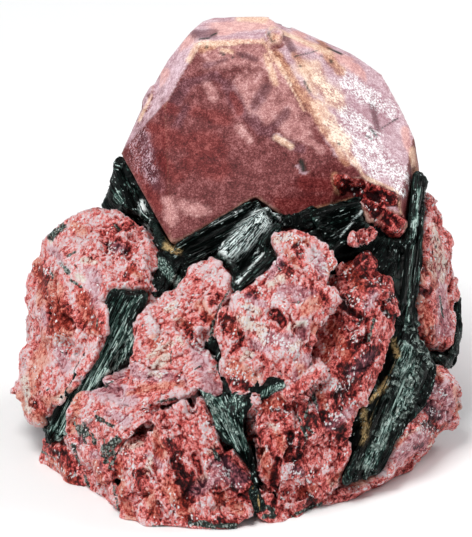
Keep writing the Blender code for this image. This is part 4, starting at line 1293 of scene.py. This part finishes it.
class Shading:
    """Builds one material's node tree.  Inputs are sockets to link or plain values."""

    def __init__(self, name):
        self.material = bpy.data.materials.new(name)
        self.material.use_nodes = True
        self.tree = self.material.node_tree
        self.shader = self.tree.nodes["Principled BSDF"]

    def node(self, kind, inputs, **settings):
        made = self.tree.nodes.new("ShaderNode" + kind)
        for key, value in settings.items():
            setattr(made, key, value)
        for key, value in inputs.items():
            self.set(made.inputs[key], value)
        return made

    def set(self, socket, value):
        if isinstance(value, bpy.types.NodeSocket):
            self.tree.links.new(value, socket)
        else:
            socket.default_value = value

    def place(self):
        """Place on the object, in mm."""
        found = self.node("TexCoord", {}).outputs["Object"]
        return self.node("VectorMath", {0: found, "Scale": 1.0 / MM}, operation="SCALE").outputs[0]

    def stretched(self, place, factors):
        return self.node("VectorMath", {0: place, 1: factors}, operation="MULTIPLY").outputs[0]

    def parts(self, colour):
        return self.node("SeparateColor", {0: colour}).outputs

    def layers(self, name):
        return self.parts(self.node("Attribute", {}, attribute_name=name).outputs["Color"])

    def vector(self, name):
        return self.node("Attribute", {}, attribute_name=name).outputs["Vector"]

    def noise(self, place, scale, detail=3.0, roughness=0.6, distortion=0.0):
        return self.node("TexNoise", {
            "Vector": place, "Scale": scale, "Detail": detail, "Roughness": roughness,
            "Distortion": distortion}).outputs[0]

    def cells(self, place, scale, feature="F1"):
        return self.node("TexVoronoi", {"Vector": place, "Scale": scale}, feature=feature)

    def cell_tone(self, place, scale):
        """One random number for each cell."""
        return self.parts(self.cells(place, scale).outputs["Color"])[0]

    def math(self, operation, a, b=0.0, clamp=False):
        return self.node(
            "Math", {0: a, 1: b}, operation=operation, use_clamp=clamp).outputs[0]

    def times(self, a, b, clamp=False):
        return self.math("MULTIPLY", a, b, clamp)

    def sum(self, *terms):
        """Sum of plain values and (socket, weight) pairs."""
        total = 0.0
        for term in terms:
            if isinstance(term, tuple):
                total = self.node(
                    "Math", {0: term[0], 1: term[1], 2: total}, operation="MULTIPLY_ADD"
                ).outputs[0]
            else:
                total = self.math("ADD", total, term)
        return total

    def step(self, value, low, high):
        return self.node("MapRange", {
            "Value": value, "From Min": low, "From Max": high},
            interpolation_type="SMOOTHSTEP").outputs[0]

    def ramp(self, value, positions, colours):
        made = self.node("ValToRGB", {0: value})
        elements = made.color_ramp.elements
        while len(elements) < len(positions):
            elements.new(0.5)
        for element, position, colour in zip(elements, positions, colours):
            element.position = position
            element.color = (*colour, 1.0)
        return made.outputs[0]

    def mix(self, share, a, b):
        a, b = ((*c, 1.0) if isinstance(c, tuple) else c for c in (a, b))
        return self.node("Mix", {0: share, 6: a, 7: b}, data_type="RGBA").outputs[2]

    def sparks(self, place, scale, bright, limit, fine, edge):
        """Painted highlights: small bright cells, those whose chance and brightness pass a limit."""
        fleck = self.cells(place, scale)
        chance = self.parts(fleck.outputs["Color"])[1]
        chosen = self.math("GREATER_THAN", self.math("ADD", chance, bright), limit)
        return self.times(chosen, self.step(
            self.sum((fleck.outputs["Distance"], 1.0), (fine, 0.6)), *edge))

    def bump(self, height, strength, distance, normal=None):
        inputs = {"Height": height, "Strength": strength, "Distance": distance * MM}
        if normal is not None:
            inputs["Normal"] = normal
        return self.node("Bump", inputs).outputs[0]

    def finish(self, colour, roughness, normal, specular):
        self.set(self.shader.inputs["Base Color"], colour)
        self.set(self.shader.inputs["Roughness"], roughness)
        self.set(self.shader.inputs["Normal"], normal)
        self.shader.inputs["Specular IOR Level"].default_value = specular
        return self.material


def broken_look(s, place, layers):
    """Colour, roughness and height of broken eudialyte: glassy red grains, pinker where they are
    bruised, with cream and mauve zones, white glints that are painted highlights, and painted
    shade in crevices and cracks with painted light on crests."""
    cream, mauve, deep, orange, green, glint, pink, height, pale = layers
    broad = s.noise(place, 0.45, 3.0, 0.55)
    medium = s.noise(place, 1.15, 3.0, 0.6)
    fine = s.noise(place, 2.6, 5.0, 0.78)
    grain_tone, speck_tone = s.cell_tone(place, 3.0), s.cell_tone(place, 5.2)
    # Darker in the cracks between grains and in crevices, lighter on crests (height): painted shade and
    # light.
    crack = s.cells(place, 2.3, "DISTANCE_TO_EDGE").outputs["Distance"]
    gap = s.times(s.step(crack, 0.07, 0.0), s.step(fine, 0.62, 0.45))
    tone = s.sum((height, 0.68), (medium, 1.2), (fine, 2.0), (grain_tone, 0.24),
                 (speck_tone, 0.10), (broad, 0.8), (pale, 0.28), (pink, 0.2), (deep, -0.42),
                 (gap, -0.40), -1.955)
    colour = s.ramp(tone, (0.0, 0.20, 0.38, 0.54, 0.70, 0.88, 1.1),
                    ((0.018, 0.001, 0.002), (0.11, 0.007, 0.009), (0.38, 0.030, 0.026),
                     (0.74, 0.122, 0.110), (1.0, 0.262, 0.245), (1.0, 0.46, 0.44),
                     (1.0, 0.77, 0.80)))
    cream_patch = s.times(cream, s.step(s.sum((tone, 0.7), (fine, 0.8)), 0.55, 0.95))
    for kind, share, stops in (("mauve", s.times(mauve, 0.72), (0.0, 0.5, 1.0)),
                               ("orange", s.times(orange, 0.8), (0.0, 0.5, 1.0)),
                               ("cream", cream_patch, (0.2, 0.55, 0.9))):
        colour = s.mix(share, colour, s.ramp(tone, stops, BROKEN_SHADES[kind]))
    stain = s.step(s.sum((green, 1.0), (fine, 1.6), (speck_tone, 0.3)), 1.56, 1.80)
    colour = s.mix(stain, colour, s.ramp(s.sum((speck_tone, 0.7), (fine, 0.8)),
                                         (0.45, 0.85, 1.05), BROKEN_SHADES["green"]))
    # White sparks, most on the glint marks: painted highlights.
    bright = s.sum((glint, 0.34), (s.noise(place, 0.7, 3.0), 1.2),
                   (s.step(tone, 0.05, 0.7), 0.10), -0.62)
    spark = s.sparks(s.stretched(place, (0.9, 1.4, 1.0)), 4.2, bright, 1.05, fine, (1.00, 0.84))
    colour = s.mix(spark, colour, BROKEN_GLINT)
    roughness = s.sum((fine, 0.45), (spark, -0.2), (mauve, 0.08), 0.12)
    relief = s.sum((fine, 1.2), (medium, 1.0), (grain_tone, 0.6), (speck_tone, 0.3),
                   (s.step(crack, 0.0, 0.12), 0.3))
    return colour, roughness, relief


def eudialyte_layers(s):
    cream, mauve, deep = s.layers("tint_a")[:3]
    orange, green, glint = s.layers("tint_b")[:3]
    pink, broken, height = s.layers("tint_c")[:3]
    pale, dusted = s.layers("tint_d")[:2]
    return (cream, mauve, deep, orange, green, glint, pink, height, pale), broken, dusted


def eudialyte_broken():
    s = Shading("eudialyte_broken_look")
    layers = eudialyte_layers(s)[0]
    colour, roughness, relief = broken_look(s, s.vector("grain"), layers)
    return s.finish(colour, roughness, s.bump(relief, 1.0, 0.25), 0.3)


def eudialyte_face():
    """Grown crystal faces: dull satin, mottled, bruised at edges, with fine white frost that is partly
    painted glitter highlights; faces that look up are painted paler, partly etching and partly painted
    light from above.
    """
    s = Shading("eudialyte_face_look")
    place = s.place()
    layers, broken, dusted = eudialyte_layers(s)
    cream, mauve, deep, orange, green, glint, pink, height, pale = layers
    broad = s.noise(place, 0.22, 3.0, 0.5, 0.6)
    medium = s.noise(place, 0.9, 4.0, 0.65, 0.3)
    fine = s.noise(place, 3.0, 5.0, 0.78)
    dust = s.noise(place, 5.0, 3.0, 0.8)
    tone = s.sum((fine, 1.3), (dust, 1.5), (medium, 1.1), (broad, 0.6), -1.76)

    def blotched(mark, strength):
        share = s.step(s.sum((mark, 1.0), (medium, 0.7), (fine, 0.6), -0.65), -0.15, 1.15)
        return s.times(s.times(mark, 1.4, clamp=True), s.times(share, strength))

    def shaded(kind):
        return s.ramp(tone, FACE_STOPS, FACE_SHADES[kind])

    # Faces that look up take the top-lit shades: painted light from above, partly frosted etching.
    colour = s.mix(pale, shaded("dark"), shaded("etched_and_top_lit"))
    bruised = s.mix(pale, shaded("dark_bruise"), shaded("etched_and_top_lit_bruise"))
    colour = s.mix(blotched(pink, 0.9), colour, bruised)
    for kind, mark, strength in (
            ("mauve", mauve, 0.8), ("deep", deep, 0.8), ("orange", orange, 0.9)):
        colour = s.mix(blotched(mark, strength), colour, shaded(kind))
    worn = s.math("MAXIMUM", blotched(cream, 1.0), s.times(s.step(height, 0.58, 0.80), 0.35))
    colour = s.mix(s.times(worn, 0.9), colour, shaded("worn"))
    # Frost specks on the glint marks: partly frosted etching, partly painted glitter highlights.
    lit = s.sum((s.noise(place, 3.4, 3.0, 0.8), 1.0), (glint, 0.20), (medium, 0.4), -0.33)
    frost_glint = s.times(glint, s.step(lit, 0.53, 0.60))
    # Darker specks between the frost.
    dark_specks = s.times(s.times(glint, 0.7), s.step(lit, 0.49, 0.40))
    colour = s.mix(dark_specks, colour, FACE_DARK_SPECK)
    # Sparse pale specks on the dusted marks: painted glints.
    glint_powder = s.times(dusted, s.step(lit, 0.39, 0.44))
    colour = s.mix(s.times(glint_powder, 0.6), colour, FACE_GLINT_DUST)
    colour = s.mix(frost_glint, colour, s.mix(cream, FACE_FROST_GLINT, CREAM_FROST_GLINT))
    colour = s.mix(s.times(green, s.step(fine, 0.32, 0.46)), colour, FACE_GREEN)
    roughness = s.sum((fine, 0.3), (frost_glint, -0.12), 0.40)
    relief = s.sum((fine, 0.5), (dust, 0.4), (frost_glint, 0.3), (medium, 0.5))
    rough_colour, rough_roughness, rough_relief = broken_look(s, s.vector("grain"), layers)
    torn = s.step(s.sum((broken, 1.0), (fine, 0.3), -0.15), 0.35, 0.6)
    colour = s.mix(torn, colour, rough_colour)
    roughness = s.node("Mix", {0: torn, 2: roughness, 3: rough_roughness}).outputs[0]
    face_normal = s.bump(relief, 0.6, 0.07)
    torn_normal = s.bump(s.times(rough_relief, torn), 0.9, 0.22, face_normal)
    return s.finish(colour, roughness, torn_normal, 0.15)


def aegirine():
    """Near-black green needles with pale grey-green lines along them, partly their fibres and partly
    painted highlights.
    """
    s = Shading("aegirine_look")
    place = s.place()
    silver, grey, tan = s.layers("tint_a")[:3]
    height, lit = s.layers("tint_b")[:2]
    along = s.stretched(s.vector("fibre"), (0.5, 6.0, 6.0))
    streak = s.noise(along, 1.0, 3.0, 0.65)
    fine = s.noise(place, 3.0, 4.0, 0.7)
    # Streaks along the needles are partly their fibres and partly painted highlights; rib crests (height)
    # and lit marks are painted lighter: painted light. On loose needles height is a random tone for each.
    tone = s.sum((streak, 2.6), (fine, 0.5), (height, 0.45), (lit, 0.50), -1.56)
    colour = s.ramp(tone, (0.20, 0.55, 0.70, 0.84, 1.05),
                    ((0.0005, 0.0010, 0.0009), (0.002, 0.006, 0.005), (0.034, 0.074, 0.062),
                     (0.11, 0.19, 0.165), (0.50, 0.64, 0.59)))
    # Silver marks: bright lines painted as highlights along the needles.
    bright = s.ramp(tone, (0.02, 0.14, 0.20, 0.38),
                    ((0.002, 0.006, 0.006), (0.10, 0.14, 0.135), (0.66, 0.81, 0.79),
                     (0.92, 0.98, 0.97)))
    colour = s.mix(s.times(silver, 0.95), colour, bright)
    grain_tone = s.cell_tone(place, 1.5)
    speck = s.step(s.sum((grain_tone, 0.6), (fine, 0.8)), 0.66, 0.84)
    colour = s.mix(s.times(grey, speck), colour,
                   s.ramp(s.sum((fine, 1.6), (grain_tone, 0.4), -0.6), (0.25, 0.5, 0.8),
                          GREY_SHADES))
    colour = s.mix(s.times(tan, s.step(fine, 0.36, 0.52)), colour,
                   s.ramp(fine, (0.35, 0.60), TAN_SHADES))
    # Glints along the needles: painted highlights.
    spark = s.sparks(along, 1.3, 0.0, 0.94, fine, (0.72, 0.60))
    colour = s.mix(s.times(spark, 0.8), colour, NEEDLE_GLINT)
    roughness = s.sum((streak, 0.35), (grey, 0.15), (tan, 0.25), 0.14)
    relief = s.sum((streak, 1.0), (fine, 0.3))
    return s.finish(colour, roughness, s.bump(relief, 0.8, 0.12), 0.12)


def dressed(item, material, node=None):
    """Gives a finished piece its material and its place in the frame."""
    item.data.validate()
    item.data.materials.clear()
    item.data.materials.append(material)
    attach(item, BODY)
    if node:
        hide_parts(node)


# ---------------------------------------------------------------- stage

# Square soft lights: azimuth, 0 in front and 90 at the right, and elevation in degrees, distance
# and size in m, power in W, and colour.
LIGHTS = {
    "key": (-30, 62, 0.55, 0.22, 2.2, (1.0, 0.99, 0.97)),
    "fill": (-75, 25, 0.7, 0.5, 0.85, (0.95, 0.98, 1.0)),
    "rim": (118, 39, 0.6, 0.25, 1.3, (1.0, 1.0, 1.0)),
}
LIT_POINT = Vector((0.0, 0.0, 0.025))
SKY = (0.96, 0.98, 1.0, 1.0)
SKY_STRENGTH = 0.35
FLOOR_COLOUR = (0.97, 0.975, 0.98, 1.0)
FLOOR_ROUGHNESS = 0.9
FLOOR_HALF = 3.0
VIEW_HEIGHT = 537       # what the camera takes in, on the chart
CAMERA_DISTANCE = 900.0
CAMERA_NEAR = 0.01      # nearest point that it sees, in m
SENSOR = 36.0


def look_against(item, way):
    """Turns a lamp or camera so that it looks against a direction."""
    item.rotation_mode = "QUATERNION"
    item.rotation_quaternion = Vector(way).to_track_quat("Z", "Y")


def area_light(name, azimuth, elevation, distance, size, power, colour):
    lamp = bpy.data.lights.new(name, "AREA")
    lamp.shape = "SQUARE"
    lamp.size = size
    lamp.energy = power
    lamp.color = colour
    item = added(name, lamp)
    turn, rise = math.radians(azimuth), math.radians(elevation)
    away = Vector((math.sin(turn) * math.cos(rise), -math.cos(turn) * math.cos(rise),
                   math.sin(rise)))
    item.location = LIT_POINT + away * distance
    look_against(item, away)


def studio():
    world = bpy.data.worlds.new("studio")
    world.use_nodes = True
    background = world.node_tree.nodes["Background"]
    background.inputs["Color"].default_value = SKY
    background.inputs["Strength"].default_value = SKY_STRENGTH
    bpy.context.scene.world = world
    for name, settings in LIGHTS.items():
        area_light(name, *settings)
    mesh = bpy.data.meshes.new("floor")
    mesh.from_pydata([(side * FLOOR_HALF, end * FLOOR_HALF, 0)
                      for side, end in ((-1, -1), (1, -1), (1, 1), (-1, 1))], [], [(0, 1, 2, 3)])
    s = Shading("floor")
    s.shader.inputs["Base Color"].default_value = FLOOR_COLOUR
    s.shader.inputs["Roughness"].default_value = FLOOR_ROUGHNESS
    mesh.materials.append(s.material)
    floor = added("floor", mesh)


def camera():
    data = bpy.data.cameras.new("camera")
    data.sensor_width = SENSOR
    data.lens = SENSOR * CAMERA_DISTANCE / (VIEW_HEIGHT * CHART_STEP)
    data.clip_start = CAMERA_NEAR
    item = added("camera", data)
    item.location = placed(0.0, 0.0, CAMERA_DISTANCE) * MM
    look_against(item, AXIS_OUT)
    bpy.context.scene.camera = item
    bpy.context.scene.view_settings.view_transform = "Standard"


# ---------------------------------------------------------------- specimen

MAIN_SEED, BROKEN_SEED, FILLER_SEED, SEED_STEP = 7, 100, 900, 50
MASS_SEED, SLAB_SEED, NEEDLE_SEED = 11, 12, 5

broken_material, face_material, aegirine_material = (
    eudialyte_broken(), eudialyte_face(), aegirine())
dressed(main_crystal(MAIN_SEED), face_material, MAIN)
for turn, broken_node in enumerate(BROKEN):
    dressed(broken_crystal(broken_node, BROKEN_SEED + SEED_STEP * turn), broken_material,
            broken_node)
for turn, filler_name in enumerate(FILLERS):
    dressed(filler(filler_name, FILLER_SEED + SEED_STEP * turn), broken_material)
mass = aegirine_mass(MASS_SEED)
sprays = [aegirine_slab(slab_name, SLAB_SEED + turn)
          for turn, slab_name in enumerate(AEGIRINE_SLABS)]
dressed(needles([mass, *sprays], NEEDLE_SEED), aegirine_material)
for spray in sprays:
    dressed(spray, aegirine_material)
dressed(mass, aegirine_material, MASS)

studio()
camera()
